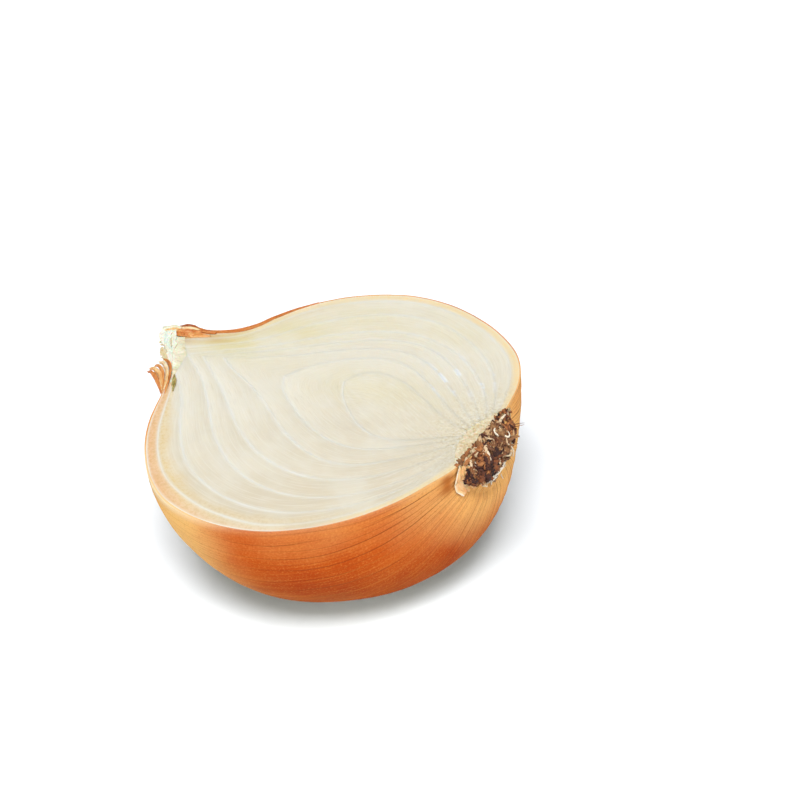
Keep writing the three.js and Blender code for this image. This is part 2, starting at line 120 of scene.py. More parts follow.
def spline(P, n, dim=None):
    """Centripetal Catmull-Rom through P, as n + 1 points evenly spaced along it."""
    P = np.asarray(P, float)
    Q = np.vstack([2 * P[0] - P[1], P, 2 * P[-1] - P[-2]])
    out = []
    for k in range(1, len(Q) - 2):
        p0, p1, p2, p3 = Q[k - 1:k + 3]
        t1 = np.linalg.norm(p1 - p0) ** 0.5
        t2 = t1 + np.linalg.norm(p2 - p1) ** 0.5
        t3 = t2 + np.linalg.norm(p3 - p2) ** 0.5
        t = np.linspace(t1, t2, 25)[:-1, None]
        a1 = (t1 - t) / t1 * p0 + t / t1 * p1
        a2 = (t2 - t) / (t2 - t1) * p1 + (t - t1) / (t2 - t1) * p2
        a3 = (t3 - t) / (t3 - t2) * p2 + (t - t2) / (t3 - t2) * p3
        b1 = (t2 - t) / t2 * a1 + t / t2 * a2
        b2 = (t3 - t) / (t3 - t1) * a2 + (t - t1) / (t3 - t1) * a3
        out.append((t2 - t) / (t2 - t1) * b1 + (t - t1) / (t2 - t1) * b2)
    C = np.vstack(out + [P[-1:]])
    s = np.r_[0, np.cumsum(np.linalg.norm(np.diff(C, axis=0), axis=1))]
    u = np.linspace(0, s[-1], n + 1)
    return np.stack([np.interp(u, s, C[:, k]) for k in range(C.shape[1])], -1)


def table(values, x):
    """Smooth interpolation of a table over ALONG."""
    m = np.gradient(values, ALONG)
    m[0] = m[-1] = 0
    x = np.clip(x, ALONG[0], ALONG[-1])
    k = np.clip(np.searchsorted(ALONG, x) - 1, 0, len(ALONG) - 2)
    h = ALONG[k + 1] - ALONG[k]
    t = (x - ALONG[k]) / h
    return ((2 * t ** 3 - 3 * t ** 2 + 1) * values[k] + (t ** 3 - 2 * t ** 2 + t) * h * m[k]
            + (-2 * t ** 3 + 3 * t ** 2) * values[k + 1] + (t ** 3 - t ** 2) * h * m[k + 1])


def edge_pair(level, n):
    """Far and near edges of a layer; a level between whole numbers lies between two layers."""
    k = int(math.floor(level))
    f = level - k
    a = [spline(e, n) for e in LAYERS[k]]
    if f < 1e-9:
        return a
    b = [spline(e, n) for e in LAYERS[k + 1]]
    return [p + (q - p) * f for p, q in zip(a, b)]


def inset(edge, d, side):
    """Moves an edge curve inwards by d millimetres (side +1 far, -1 near)."""
    t = np.gradient(edge, axis=0)
    t /= np.linalg.norm(t, axis=1)[:, None] + 1e-12
    n = np.stack([-t[:, 1], t[:, 0]], -1) * side
    return edge - n * d


def bowl(far, near, nt, closed=False):
    """Surface below the cut plane between a far and a near edge; rows run neck to root."""
    xm, xd = (far[:, 0] + near[:, 0]) / 2, (far[:, 0] - near[:, 0]) / 2
    ym, h = (far[:, 1] + near[:, 1]) / 2, (far[:, 1] - near[:, 1]) / 2
    th = np.linspace(0, np.pi, nt + 1)
    c, s = np.cos(th), np.sin(th)
    s[0] = s[-1] = 0
    depth = table(DEPTH, xm) * h
    bulge = table(BULGE, xm) * np.minimum(1, np.abs(h) / 12)
    return np.stack([xm[:, None] + xd[:, None] * c + bulge[:, None] * s ** 2,
                     ym[:, None] + h[:, None] * c,
                     -depth[:, None] * s], -1)


def grid_normals(G):
    a = np.gradient(G, axis=0)
    b = np.gradient(G, axis=1)
    n = np.cross(a, b)
    n /= np.linalg.norm(n, axis=-1, keepdims=True) + 1e-12
    return n


# ------------------------------------------------------------------ mesh helpers
class Build:
    """Collects grids and loose faces with per-point attributes, then welds them into one mesh."""

    def __init__(self):
        self.v, self.f, self.a, self.n, self.mat = [], [], {}, 0, []

    def points(self, P, attrs=None):
        P = np.asarray(P, float).reshape(-1, 3)
        base = self.n
        self.v.append(P)
        for k, val in (attrs or {}).items():
            self.a.setdefault(k, [])
        for k in self.a:
            val = (attrs or {}).get(k, 0.0)
            self.a[k].append((base, np.broadcast_to(np.asarray(val, float), P.shape[:1] if np.ndim(val) < 1 else np.shape(np.reshape(val, -1))).reshape(-1)))
        self.n += len(P)
        return base

    def faces(self, F, mat=0):
        F = np.asarray(F, np.int64)
        self.f.append(F)
        self.mat.append(np.full(len(F), mat))

    def grid(self, G, attrs=None, flip=False, mat=0, wrap=False):
        n, m = G.shape[:2]
        attrs = {k: np.broadcast_to(v, (n, m)).reshape(-1) for k, v in (attrs or {}).items()}
        b = self.points(G, attrs)
        i = np.arange(n - 1)[:, None]
        j = np.arange(m if wrap else m - 1)[None, :]
        a0, a1 = i * m + j, (i + 1) * m + j
        j1 = (j + 1) % m
        b0, b1 = i * m + j1, (i + 1) * m + j1
        F = np.stack(np.broadcast_arrays(a0, a1, b1, b0), -1).reshape(-1, 4) + b
        self.faces(F[:, ::-1] if flip else F, mat)
        return b

    def mesh(self, name, weld=1e-6, sharp=None, out=True):
        V = np.vstack(self.v)
        F = [f for f in self.f]
        attr = {k: np.zeros(self.n) for k in self.a}
        for k, parts in self.a.items():
            for base, val in parts:
                attr[k][base:base + len(val)] = val
        if weld:
            key = np.round(V / weld).astype(np.int64)
            _, first, inv = np.unique(key, axis=0, return_index=True, return_inverse=True)
            inv = inv.reshape(-1)
            V = V[first]
            attr = {k: v[first] for k, v in attr.items()}
        else:
            inv = np.arange(self.n)
        polys, mats = [], []
        for f, mt in zip(F, self.mat):
            g = inv[f]
            for row, m_ in zip(g.tolist(), mt.tolist()):
                r = [row[k] for k in range(len(row)) if row[k] != row[k - 1]]
                if len(r) >= 3 and len(set(r)) == len(r):
                    polys.append(r)
                    mats.append(m_)
        me = bpy.data.meshes.new(name)
        me.vertices.add(len(V))
        me.vertices.foreach_set("co", V.astype(np.float32).ravel())
        tot = np.array([len(p) for p in polys])
        flat = np.fromiter((i for p in polys for i in p), np.int32, int(tot.sum()))
        me.loops.add(len(flat))
        me.loops.foreach_set("vertex_index", flat)
        me.polygons.add(len(polys))
        me.polygons.foreach_set("loop_start", np.r_[0, np.cumsum(tot)[:-1]].astype(np.int32))
        me.polygons.foreach_set("loop_total", tot.astype(np.int32))
        me.polygons.foreach_set("material_index", np.array(mats, np.int32))
        me.update(calc_edges=True)
        me.validate()
        for k, v in attr.items():
            at = me.attributes.new(k, "FLOAT", "POINT")
            at.data.foreach_set("value", v.astype(np.float32))
        me.polygons.foreach_set("use_smooth", np.ones(len(me.polygons), bool))
        if sharp:
            me.set_sharp_from_angle(angle=math.radians(sharp))
        if out and signed_volume(me) < 0:
            me.flip_normals()
        return me


def signed_volume(me):
    me.calc_loop_triangles()
    n = len(me.loop_triangles)
    t = np.empty(n * 3, np.int32)
    me.loop_triangles.foreach_get("vertices", t)
    co = np.empty(len(me.vertices) * 3, np.float32)
    me.vertices.foreach_get("co", co)
    co = co.reshape(-1, 3).astype(float)
    a, b, c = (co[t.reshape(-1, 3)[:, k]] for k in range(3))
    return float((a * np.cross(b, c)).sum() / 6)


def piece(name, me, mats, replaces=()):
    ob = bpy.data.objects.new(name, me)
    bpy.context.scene.collection.objects.link(ob)
    for m in mats if isinstance(mats, (list, tuple)) else [mats]:
        me.materials.append(m)
    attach(ob, "root")
    if replaces:
        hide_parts(*replaces)
    return ob


# ------------------------------------------------------------------ node helpers
class Nodes:
    def __init__(self, name):
        self.m = bpy.data.materials.new(name)
        self.m.use_nodes = True
        self.t = self.m.node_tree
        self.t.nodes.clear()
        self.out = self.t.nodes.new("ShaderNodeOutputMaterial")
        self.b = self.t.nodes.new("ShaderNodeBsdfPrincipled")
        self.t.links.new(self.b.outputs[0], self.out.inputs[0])

    def set(self, **kw):
        for k, v in kw.items():
            self.b.inputs[k.replace("_", " ")].default_value = v

    def link(self, a, b):
        self.t.links.new(a, b)
        return a

    def val(self, x, sock):
        if hasattr(x, "is_output"):
            self.t.links.new(x, sock)
        elif x is not None:
            sock.default_value = x

    def attr(self, name):
        n = self.t.nodes.new("ShaderNodeAttribute")
        n.attribute_name = name
        return n.outputs["Fac"]

    def pos(self, scale=1000.0):
        n = self.t.nodes.new("ShaderNodeTexCoord")
        v = self.t.nodes.new("ShaderNodeVectorMath")
        v.operation = "SCALE"
        self.t.links.new(n.outputs["Object"], v.inputs[0])
        v.inputs["Scale"].default_value = scale
        return v.outputs[0]

    def math(self, op, a, b=None, c=None, clamp=False):
        n = self.t.nodes.new("ShaderNodeMath")
        n.operation = op
        n.use_clamp = clamp
        self.val(a, n.inputs[0])
        if b is not None:
            self.val(b, n.inputs[1])
        if c is not None:
            self.val(c, n.inputs[2])
        return n.outputs[0]

    def vec(self, x, y, z):
        n = self.t.nodes.new("ShaderNodeCombineXYZ")
        for s, v in zip(n.inputs, (x, y, z)):
            self.val(v, s)
        return n.outputs[0]

    def noise(self, vec, scale, detail=3.0, rough=0.5, dist=0.0):
        n = self.t.nodes.new("ShaderNodeTexNoise")
        n.noise_dimensions = "3D"
        self.t.links.new(vec, n.inputs["Vector"])
        n.inputs["Scale"].default_value = scale
        n.inputs["Detail"].default_value = detail
        n.inputs["Roughness"].default_value = rough
        n.inputs["Distortion"].default_value = dist
        return n.outputs["Fac"]

    def ramp(self, fac, stops, mode="LINEAR"):
        n = self.t.nodes.new("ShaderNodeValToRGB")
        n.color_ramp.interpolation = mode
        e = n.color_ramp.elements
        while len(e) > 1:
            e.remove(e[-1])
        e[0].position, e[0].color = stops[0][0], (*lin(stops[0][1]), 1)
        for p, c in stops[1:]:
            x = e.new(p)
            x.color = (*lin(c), 1)
        self.t.links.new(fac, n.inputs[0])
        return n.outputs[0]

    def curve(self, fac, stops, mode="EASE"):
        """A black-to-white ramp: stops are (place, value)."""
        n = self.t.nodes.new("ShaderNodeValToRGB")
        n.color_ramp.interpolation = mode
        e = n.color_ramp.elements
        while len(e) > 1:
            e.remove(e[-1])
        e[0].position, e[0].color = stops[0][0], (stops[0][1],) * 3 + (1,)
        for p, v in stops[1:]:
            e.new(p).color = (v, v, v, 1)
        self.t.links.new(fac, n.inputs[0])
        return n.outputs[0]

    def mix(self, fac, a, b, mode="MIX"):
        n = self.t.nodes.new("ShaderNodeMix")
        n.data_type = "RGBA"
        n.blend_type = mode
        n.clamp_factor = True
        self.val(fac, n.inputs[0])
        for v, s in ((a, n.inputs[6]), (b, n.inputs[7])):
            if hasattr(v, "is_output"):
                self.t.links.new(v, s)
            else:
                s.default_value = (*lin(v), 1)
        return n.outputs[2]

    def bump(self, height, strength=1.0, dist=0.0001, normal=None):
        n = self.t.nodes.new("ShaderNodeBump")
        n.inputs["Strength"].default_value = strength
        n.inputs["Distance"].default_value = dist
        self.t.links.new(height, n.inputs["Height"])
        if normal is not None:
            self.t.links.new(normal, n.inputs["Normal"])
        return n.outputs[0]

    def to(self, name, sock):
        self.t.links.new(sock, self.b.inputs[name])


STUDIO = 0.775       # colours are written as they look under the studio light, a little brighter than white


def lin(c):
    """sRGB 0-255, as seen, to a linear base colour."""
    out = []
    for v in c[:3]:
        v = v / 255
        out.append(STUDIO * (v / 12.92 if v <= 0.04045 else ((v + 0.055) / 1.055) ** 2.4))
    return tuple(out)


# ------------------------------------------------------------------ materials
def flesh_material(name, sss=0.3):
    """Moist cut flesh. t runs across the scale from its outer edge, d is the distance in mm
    to the nearer edge, s runs from neck to root; the other attributes are masks by place."""
    n = Nodes(name)
    t, d, s, across = n.attr("t"), n.attr("d"), n.attr("s"), n.attr("across")
    rootish, warm = n.attr("rootish"), n.attr("warm")
    P = n.pos()
    # across the scale: light near its outer edge, a little greyer towards the inner one
    band = n.curve(t, [(0.0, 1.0), (0.2, 0.9), (0.6, 0.35), (0.92, 0.0), (1.0, 0.1)])
    col = n.mix(band, (233, 226, 206), (246, 241, 224))
    col = n.mix(n.attr("beige"), col, (225, 214, 190))
    col = n.mix(n.attr("green"), col, (232, 220, 160))
    # fine strands along the scale
    strand = n.noise(n.vec(n.math("MULTIPLY", s, 8.0), n.math("MULTIPLY", across, 2.4), 0.0), 1.0, 4.0, 0.6)
    col = n.mix(n.curve(strand, [(0.45, 0.0), (0.72, 0.5)]), col, (246, 243, 231))
    col = n.mix(n.curve(strand, [(0.26, 0.45), (0.45, 0.0)]), col, (220, 211, 188))
    fine = n.noise(n.vec(n.math("MULTIPLY", s, 24.0), n.math("MULTIPLY", across, 7.0), 0.0), 1.0, 2.0, 0.5)
    col = n.mix(n.curve(fine, [(0.33, 0.35), (0.5, 0.0)]), col, (219, 210, 188))
    # cloudy patches
    cloud = n.noise(P, 0.11, 3.0, 0.6)
    col = n.mix(n.curve(cloud, [(0.4, 0.0), (0.68, 0.45)]), col, (241, 237, 222))
    # drying towards the skin: peach, pale yellow or yellow-grey
    wcol = n.ramp(n.attr("warmc"), [(0.0, (240, 172, 100)), (0.33, (250, 202, 146)), (0.66, (255, 226, 160)), (1.0, (222, 192, 138))])
    grain = n.noise(P, 1.5, 4.0, 0.65)
    # painted shade below the far neck leaf and its fold, running into a tan drying band along the far edge
    col = n.mix(n.attr("tan"), col, (204, 156, 88))
    wf = n.math("MULTIPLY", warm, n.curve(grain, [(0.3, 1.0), (0.62, 0.62)]), clamp=True)
    col = n.mix(wf, col, wcol)
    col = n.mix(n.math("MULTIPLY", n.attr("dry"), n.curve(grain, [(0.36, 1.0), (0.56, 0.0)])), col, (211, 193, 158))
    # crumbly tissue where the scales join the plate
    crumb = n.noise(P, 1.7, 4.0, 0.7)
    crumbcol = n.ramp(crumb, [(0.32, (206, 184, 142)), (0.46, (229, 216, 184)), (0.58, (242, 235, 214)), (0.7, (251, 248, 236))])
    col = n.mix(rootish, col, crumbcol)
    # thin pale membrane along each edge
    edge = n.curve(d, [(0.0, 0.85), (0.15, 0.72), (0.42, 0.25), (0.8, 0.0)])
    fade = n.noise(n.vec(n.math("MULTIPLY", s, 7.0), t, 0.0), 1.0, 1.0, 0.5)
    edge = n.math("MULTIPLY", edge, n.curve(fade, [(0.25, 0.45), (0.6, 1.0)]))
    col = n.mix(n.math("MULTIPLY", edge, n.attr("linefade")), col, (254, 251, 238))
    # painted highlight: bluish-white glints of the moist film along some of the arcs
    glint_noise = n.noise(P, 0.33, 3.0, 0.6)
    painted_glint = n.math("MULTIPLY", n.attr("painted_glint"), n.curve(glint_noise, [(0.44, 0.0), (0.62, 1.0)]))
    col = n.mix(n.math("MULTIPLY", painted_glint, n.curve(d, [(0.0, 1.0), (0.35, 0.8), (0.9, 0.0)])), col, (246, 250, 252))
    n.to("Base Color", col)
    rough = n.noise(P, 0.8, 3.0, 0.6)
    n.to("Roughness", n.curve(rough, [(0.3, 0.36), (0.7, 0.56)]))
    # relief: strands, fine cells and crumbs
    h = n.math("MULTIPLY", strand, 0.6)
    h = n.math("ADD", h, n.math("MULTIPLY", fine, 0.25))
    cells = n.noise(P, 5.0, 2.0, 0.5)
    h = n.math("ADD", h, n.math("MULTIPLY", cells, 0.12))
    h = n.math("ADD", h, n.math("MULTIPLY", n.math("MULTIPLY", crumb, rootish), 2.5))
    n.to("Normal", n.bump(h, 0.4, 0.00011))
    n.b.inputs["Subsurface Weight"].default_value = sss
    n.b.inputs["Subsurface Radius"].default_value = (1.0, 0.75, 0.45)
    n.b.inputs["Subsurface Scale"].default_value = 0.0022
    n.b.inputs["IOR"].default_value = 1.36
    n.b.inputs["Specular IOR Level"].default_value = 0.4
    n.b.inputs["Coat Weight"].default_value = 0.1
    n.b.inputs["Coat Roughness"].default_value = 0.25
    return n.m


def skin_material():
    n = Nodes("skin_dry")
    s, th = n.attr("s"), n.attr("th")
    P = n.pos()
    # deeper orange across the middle of the bulb, plus painted shade that deepens it lower down
    base = n.mix(n.attr("deep_and_shade"), (255, 184, 108), (200, 76, 14))
    # painted shade: the skin darkens to deep brown-orange towards the bottom, where less light reaches it
    base = n.mix(n.attr("low"), base, (140, 40, 4))
    # golden tone near the root, the neck end and the cut edge, partly painted light: lighter higher up the flanks
    base = n.mix(n.attr("gold_and_light"), base, (255, 206, 126))
    # cloudy variation of the thin layers
    cloud = n.noise(P, 0.06, 3.0, 0.6)
    base = n.mix(n.curve(cloud, [(0.35, 0.0), (0.7, 0.22)]), base, (242, 136, 48))
    blot = n.noise(n.vec(n.math("MULTIPLY", s, 5.0), n.math("MULTIPLY", th, 14.0), 3.0), 1.0, 3.0, 0.6)
    base = n.mix(n.curve(blot, [(0.5, 0.0), (0.78, 0.2)]), base, (204, 84, 24))
    # fine lengthwise streaks
    warp = n.math("MULTIPLY", n.noise(n.vec(n.math("MULTIPLY", s, 2.2), n.math("MULTIPLY", th, 6.0), 0.0), 1.0, 2.0, 0.5), 0.02)
    thw = n.math("ADD", th, warp)
    streak = n.noise(n.vec(n.math("MULTIPLY", s, 3.0), n.math("MULTIPLY", thw, 120.0), 1.0), 1.0, 3.0, 0.6)
    base = n.mix(n.curve(streak, [(0.45, 0.0), (0.75, 0.22)]), base, (255, 170, 76))
    base = n.mix(n.curve(streak, [(0.25, 0.24), (0.45, 0.0)]), base, (184, 76, 20))
    hair = n.noise(n.vec(n.math("MULTIPLY", s, 5.0), n.math("MULTIPLY", thw, 420.0), 5.0), 1.0, 2.0, 0.5)
    base = n.mix(n.curve(hair, [(0.3, 0.22), (0.5, 0.0)]), base, (166, 76, 30))

    fleck = n.noise(P, 2.4, 3.0, 0.65)
    base = n.mix(n.curve(fleck, [(0.5, 0.0), (0.68, 0.22)]), base, (255, 176, 88))
    base = n.mix(n.curve(fleck, [(0.32, 0.28), (0.48, 0.0)]), base, (176, 72, 18))

    # veins: thin dark lines from root to neck
    def veins(count, width, offset, wob):
        w = n.noise(n.vec(n.math("MULTIPLY", s, 2.6), n.math("MULTIPLY", th, 7.0), offset), 1.0, 1.0, 0.5)
        x = n.math("ADD", n.math("MULTIPLY", th, count), n.math("MULTIPLY", w, wob))
        x = n.math("ABSOLUTE", n.math("SUBTRACT", n.math("FRACT", n.math("ADD", x, offset)), 0.5))
        line = n.curve(x, [(0.0, 1.0), (width * 0.6, 0.9), (width * 1.6, 0.0)])
        seg = n.noise(n.vec(n.math("MULTIPLY", s, 3.4), n.math("MULTIPLY", th, count * 1.0), offset + 7), 1.0, 1.0, 0.5)
        return n.math("MULTIPLY", line, n.curve(seg, [(0.40, 0.0), (0.52, 1.0)]))

    near_root = n.curve(s, [(0.0, 0.2), (0.3, 0.12), (0.5, 0.22), (0.7, 0.6), (0.93, 1.0)])
    v1 = n.math("MULTIPLY", veins(58.0, 0.05, 0.0, 2.2), near_root)
    v2 = n.math("MULTIPLY", veins(27.0, 0.026, 0.37, 1.5), near_root)
    base = n.mix(n.math("MULTIPLY", v1, 0.55), base, (150, 72, 28))
    base = n.mix(n.math("MULTIPLY", v2, 0.85), base, (112, 52, 20))
    # painted shade in the crease beside the torn flap
    base = n.mix(n.attr("crease_shade"), base, (176, 92, 30))
    rimcol = n.ramp(n.attr("rimc"), [(0.0, (188, 102, 38)), (0.35, (226, 150, 84)), (0.7, (250, 222, 174)), (1.0, (255, 240, 206))])
    base = n.mix(n.attr("rim"), base, rimcol)
    n.to("Base Color", base)
    rough = n.noise(P, 0.5, 3.0, 0.6)
    r = n.curve(rough, [(0.3, 0.38), (0.7, 0.54)])
    n.to("Roughness", r)
    h = n.math("ADD", n.math("MULTIPLY", streak, 0.6), n.math("MULTIPLY", hair, 0.25))
    h = n.math("ADD", h, n.math("MULTIPLY", v1, -0.3))
    h = n.math("ADD", h, n.math("MULTIPLY", v2, -0.6))
    paper = n.noise(P, 1.6, 4.0, 0.6)
    h = n.math("ADD", h, n.math("MULTIPLY", paper, 0.5))
    n.to("Normal", n.bump(h, 0.45, 0.00014))
    n.b.inputs["Subsurface Weight"].default_value = 0.05
    n.b.inputs["Subsurface Radius"].default_value = (1.0, 0.35, 0.12)
    n.b.inputs["Subsurface Scale"].default_value = 0.0008
    n.b.inputs["Specular IOR Level"].default_value = 0.0
    n.b.inputs["Coat Weight"].default_value = 0.06
    n.b.inputs["Coat Roughness"].default_value = 0.35
    return n.m


def tone_material(name, stops, scale, rough=(0.7, 0.95), bump=0.0003, sss=0.0, strands=0.0, vary=0.5):
    """Dry crumbly or papery tissue; tone picks the colour of each bit."""
    n = Nodes(name)
    P = n.pos()
    tone = n.attr("tone")
    g = n.noise(P, scale, 4.0, 0.65)
    v = n.math("ADD", tone, n.math("MULTIPLY", n.math("SUBTRACT", g, 0.5), vary), clamp=True)
    if strands:
        u, w = n.attr("s"), n.attr("t")
        st = n.noise(n.vec(n.math("MULTIPLY", u, 2.0), n.math("MULTIPLY", w, strands), tone), 1.0, 3.0, 0.6)
        v = n.math("ADD", v, n.math("MULTIPLY", n.math("SUBTRACT", st, 0.5), 0.9), clamp=True)
    n.to("Base Color", n.ramp(v, stops))
    n.to("Roughness", n.curve(g, [(0.3, rough[0]), (0.7, rough[1])]))
    fine = n.noise(P, scale * 3, 3.0, 0.6)
    n.to("Normal", n.bump(n.math("ADD", g, n.math("MULTIPLY", fine, 0.4)), 0.7, bump))
    n.b.inputs["Subsurface Weight"].default_value = sss
    n.b.inputs["Subsurface Scale"].default_value = 0.001
    return n.m


# ------------------------------------------------------------------ the cut face
def relief(x, y):
    """Slight unevenness of the knife cut, in mm."""
    P = np.stack([x * 0.05, y * 0.05, np.zeros_like(x)], -1)
    Q = np.stack([x * 0.22, y * 0.22, np.zeros_like(x) + 4], -1)
    return 0.16 * fbm(P, 2, 3) + 0.04 * fbm(Q, 2, 9)


def gauss(x, y, cx, cy, rx, ry):
    return np.exp(-(((x - cx) / rx) ** 2 + ((y - cy) / ry) ** 2))


def face_attrs(x, y, d0, far):
    """Masks of the cut face by place, all 0 to 1."""
    green = 0.95 * gauss(x, y, -29, 10, 9, 5.5) + 0.7 * gauss(x, y, -19, 19, 10, 5) + 0.3 * gauss(x, y, 8, 7, 16, 6) + 0.3 * gauss(x, y, -5, 29, 14, 6) + 0.25 * gauss(x, y, 20, 31, 14, 6)
    beige = smoothstep(-10, 35, 0.6 * x - 0.8 * y)
    dr = np.hypot(x - 35.4, (y - 0.6) * 0.62)
    speck = vnoise(np.stack([x, y, 0 * x], -1) * 0.9, 5)
    rootish = (1 - smoothstep(1.5, 5.0, dr + 1.8 * speck)) * 0.85 + 0.42 * (1 - smoothstep(4, 14, dr + 3 * speck))
    linefade = np.clip(1.0 - 0.6 * smoothstep(2, 26, x) * smoothstep(4, -12, y), 0.3, 1) * smoothstep(5, 20, dr)
    # painted highlight: where the glints of the moist film lie on the cut face
    painted_glint = 0.75 * gauss(x, y, 22, 15, 6, 7) + 0.6 * gauss(x, y, 29, 17, 3, 4)
    # the tan mask: painted shade below the far neck leaf's fold, plus a tan drying band along the far edge
    return {"green": np.clip(green, 0, 1), "beige": beige, "rootish": np.clip(rootish, 0, 1), "linefade": linefade, "painted_glint": np.clip(1.3 * painted_glint, 0, 1), "tan": np.clip(0.9 * gauss(x, y, -39.4, 8.2, 2.6, 1.8) + 0.7 * gauss(x, y, -35.0, 10.4, 5.0, 1.6), 0, 1)}


FACE_OFF = {"green": 0.0, "beige": 0.5, "rootish": 0.0, "linefade": 0.0, "painted_glint": 0.0, "warm": 0.0, "warmc": 0.5, "dry": 0.0, "tan": 0.0}


def cos_steps(m):
    return 0.5 * (1 - np.cos(np.pi * np.linspace(0, 1, m + 1)))


NS = 200
GAPV = -0.006


def scale_piece(name, k, outer_level, inner_level, mat, node, warm_fn=None, m=20, nw=22, crown=0.04):
    far_o, near_o = edge_pair(outer_level, NS)
    far_i, near_i = edge_pair(inner_level, NS)
    far_o, near_o = inset(far_o, GAPV, 1), inset(near_o, GAPV, -1)
    far_i, near_i = inset(far_i, -GAPV, 1), inset(near_i, -GAPV, -1)
    # a closed tip keeps both edges on one point
    for a, b in ((far_o, near_o), (far_i, near_i)):
        if np.hypot(*(a[0] - b[0])) < 0.2:
            a[0] = b[0] = (a[0] + b[0]) / 2
    u = cos_steps(m)
    s = np.linspace(0, 1, NS + 1)[:, None]
    B = Build()
    tops = []
    for o, i, far in ((far_o, far_i, 1.0), (near_o, near_i, 0.0)):
        P = o[:, None, :] * (1 - u)[None, :, None] + i[:, None, :] * u[None, :, None]
        w = np.linalg.norm(i - o, axis=1)[:, None]
        d0, d1 = w * u, w * (1 - u)
        d = np.minimum(d0, d1)
        x, y = P[..., 0], P[..., 1]
        z = relief(x, y)
        at = face_attrs(x, y, d0, far)
        calm = (0.5 if far else 1.0) * (0.15 + 0.85 * smoothstep(4, 18, np.hypot(x - 35.4, (y - 0.6) * 0.62)))
        z = z + calm * (crown * np.sin(np.pi * u) * np.minimum(1, w / 3) + 0.05 * np.exp(-(d0 / 0.34) ** 2) + 0.02 * np.exp(-(d1 / 0.15) ** 2))
        # fibrous crumbs where the scales meet the plate
        z = z + at["rootish"] * 0.14 * fbm(np.stack([x * 1.3, y * 1.3, 0 * z + 2], -1), 3, 12, 0.6)
        G = np.concatenate([P, z[..., None]], -1)
        tops.append(G)
        if far:
            at["linefade"] = at["linefade"] * (0.6 if k < 5 else 0.25)
        warm, warmc, dry = warm_fn(x, y, u[None, :] + 0 * z, d0, far) if warm_fn else (0 * x, 0 * x, 0 * x)
        tone = 0.3 + 0.42 * u if far else u if k < 6 else 0.2 + 0.6 * u
        B.grid(part(G), {"t": tone[None, :], "d": d, "s": s, "across": w * u + 13.7 * k, "warm": warm, "warmc": warmc, "dry": dry, **at}, flip=far > 0.5)
    tf, tn = tops
    th = np.linspace(0, 1, nw + 1)
    walls = []
    for (fo, no, gf, gn, flip, tt) in ((far_o, near_o, tf[:, 0], tn[:, 0], False, 0.0), (far_i, near_i, tf[:, -1], tn[:, -1], True, 1.0)):
        W = bowl(fo, no, nw)
        W[..., 2] += ((gf[:, 2] + gn[:, 2]) / 2)[:, None] - 0.02
        W[:, 0], W[:, -1] = gf, gn
        B.grid(part(W), {"t": tt, "d": 2.0, "s": s, "across": th[None, :] * 40, **FACE_OFF}, flip=flip)
        walls.append(W)
    for e, flip in ((0, True), (-1, False)):
        if e == 0 and np.ptp(walls[0][0][:, 1]) < 0.2:
            continue
        R = np.stack([walls[0][e], walls[1][e]])
        B.grid(part(R), {"t": 0.5, "d": 2.0, "s": float(e != 0), "across": th[None, :] * 40, **FACE_OFF, "rootish": float(e != 0)}, flip=flip)
    me = B.mesh(name, weld=2e-7, sharp=50)
    return piece(name, me, mat, [node])


def first_warm(x, y, t, d0, far):
    """The outermost fleshy scale is drying: peach at the left, pale yellow along the far rim."""
    n = 0.18 * vnoise(np.stack([x * 0.25, y * 0.25, 0 * x], -1), 61)
    if far:
        a = np.exp(-(d0 / 2.1) ** 2) * (0.65 + 0.35 * smoothstep(-24, 2, x))
        a = np.maximum(a, 0.95 * smoothstep(-24, -30, x) * np.exp(-(d0 / 1.7) ** 2))
        return np.clip(a, 0, 1), 0.6 + 0.4 * smoothstep(-22, -30, x), 0 * x
    left = smoothstep(3, -22, x + 6 * n)
    low = smoothstep(30, 2, x)
    warm = np.clip(left + 0.75 * low * (1 - 0.5 * t), 0, 1)
    root = 0.95 * smoothstep(12, 26, x) * np.exp(-(d0 / 1.3) ** 2)
    warm = np.maximum(warm, root)
    wc = np.clip(0.02 + 0.36 * t + 0.28 * (1 - left) + n * 0.3, 0, 0.6)
    return warm, wc + (0.66 - wc) * smoothstep(14, 28, x), 0.4 * low


def second_warm(x, y, t, d0, far):
    n = 0.2 * vnoise(np.stack([x * 0.25, y * 0.25, 0 * x + 3], -1), 62)
    if far:
        return 0.35 * np.exp(-(d0 / 2.0) ** 2) * smoothstep(0, -24, x), 0.95 + 0 * x, 0 * x
    left = smoothstep(6, -18, x + 8 * n)
    low = smoothstep(34, 2, x) * (1 - left)
    fall = 1 - smoothstep(0.05, 0.75, t + n)
    return np.clip(0.9 * left * fall + 0.5 * low * fall, 0, 1), 0.82 + 0 * x, np.clip(0.25 * left + 0.5 * low, 0, 1) * fall


flesh = flesh_material("flesh")
flesh_in = flesh_material("flesh_bud")
flesh_out = flesh_material("flesh_first", 0.25)

# the skin takes the outer seventh of the outermost layer
SKIN_LEVEL = 0.14
scale_piece("scale_1", 1, SKIN_LEVEL, 1, flesh_out, "scale_1", first_warm, m=16, nw=30)
for k in range(2, 8):
    scale_piece(f"scale_{k}", k, k - 1, k, flesh, f"scale_{k}", second_warm if k == 2 else None)


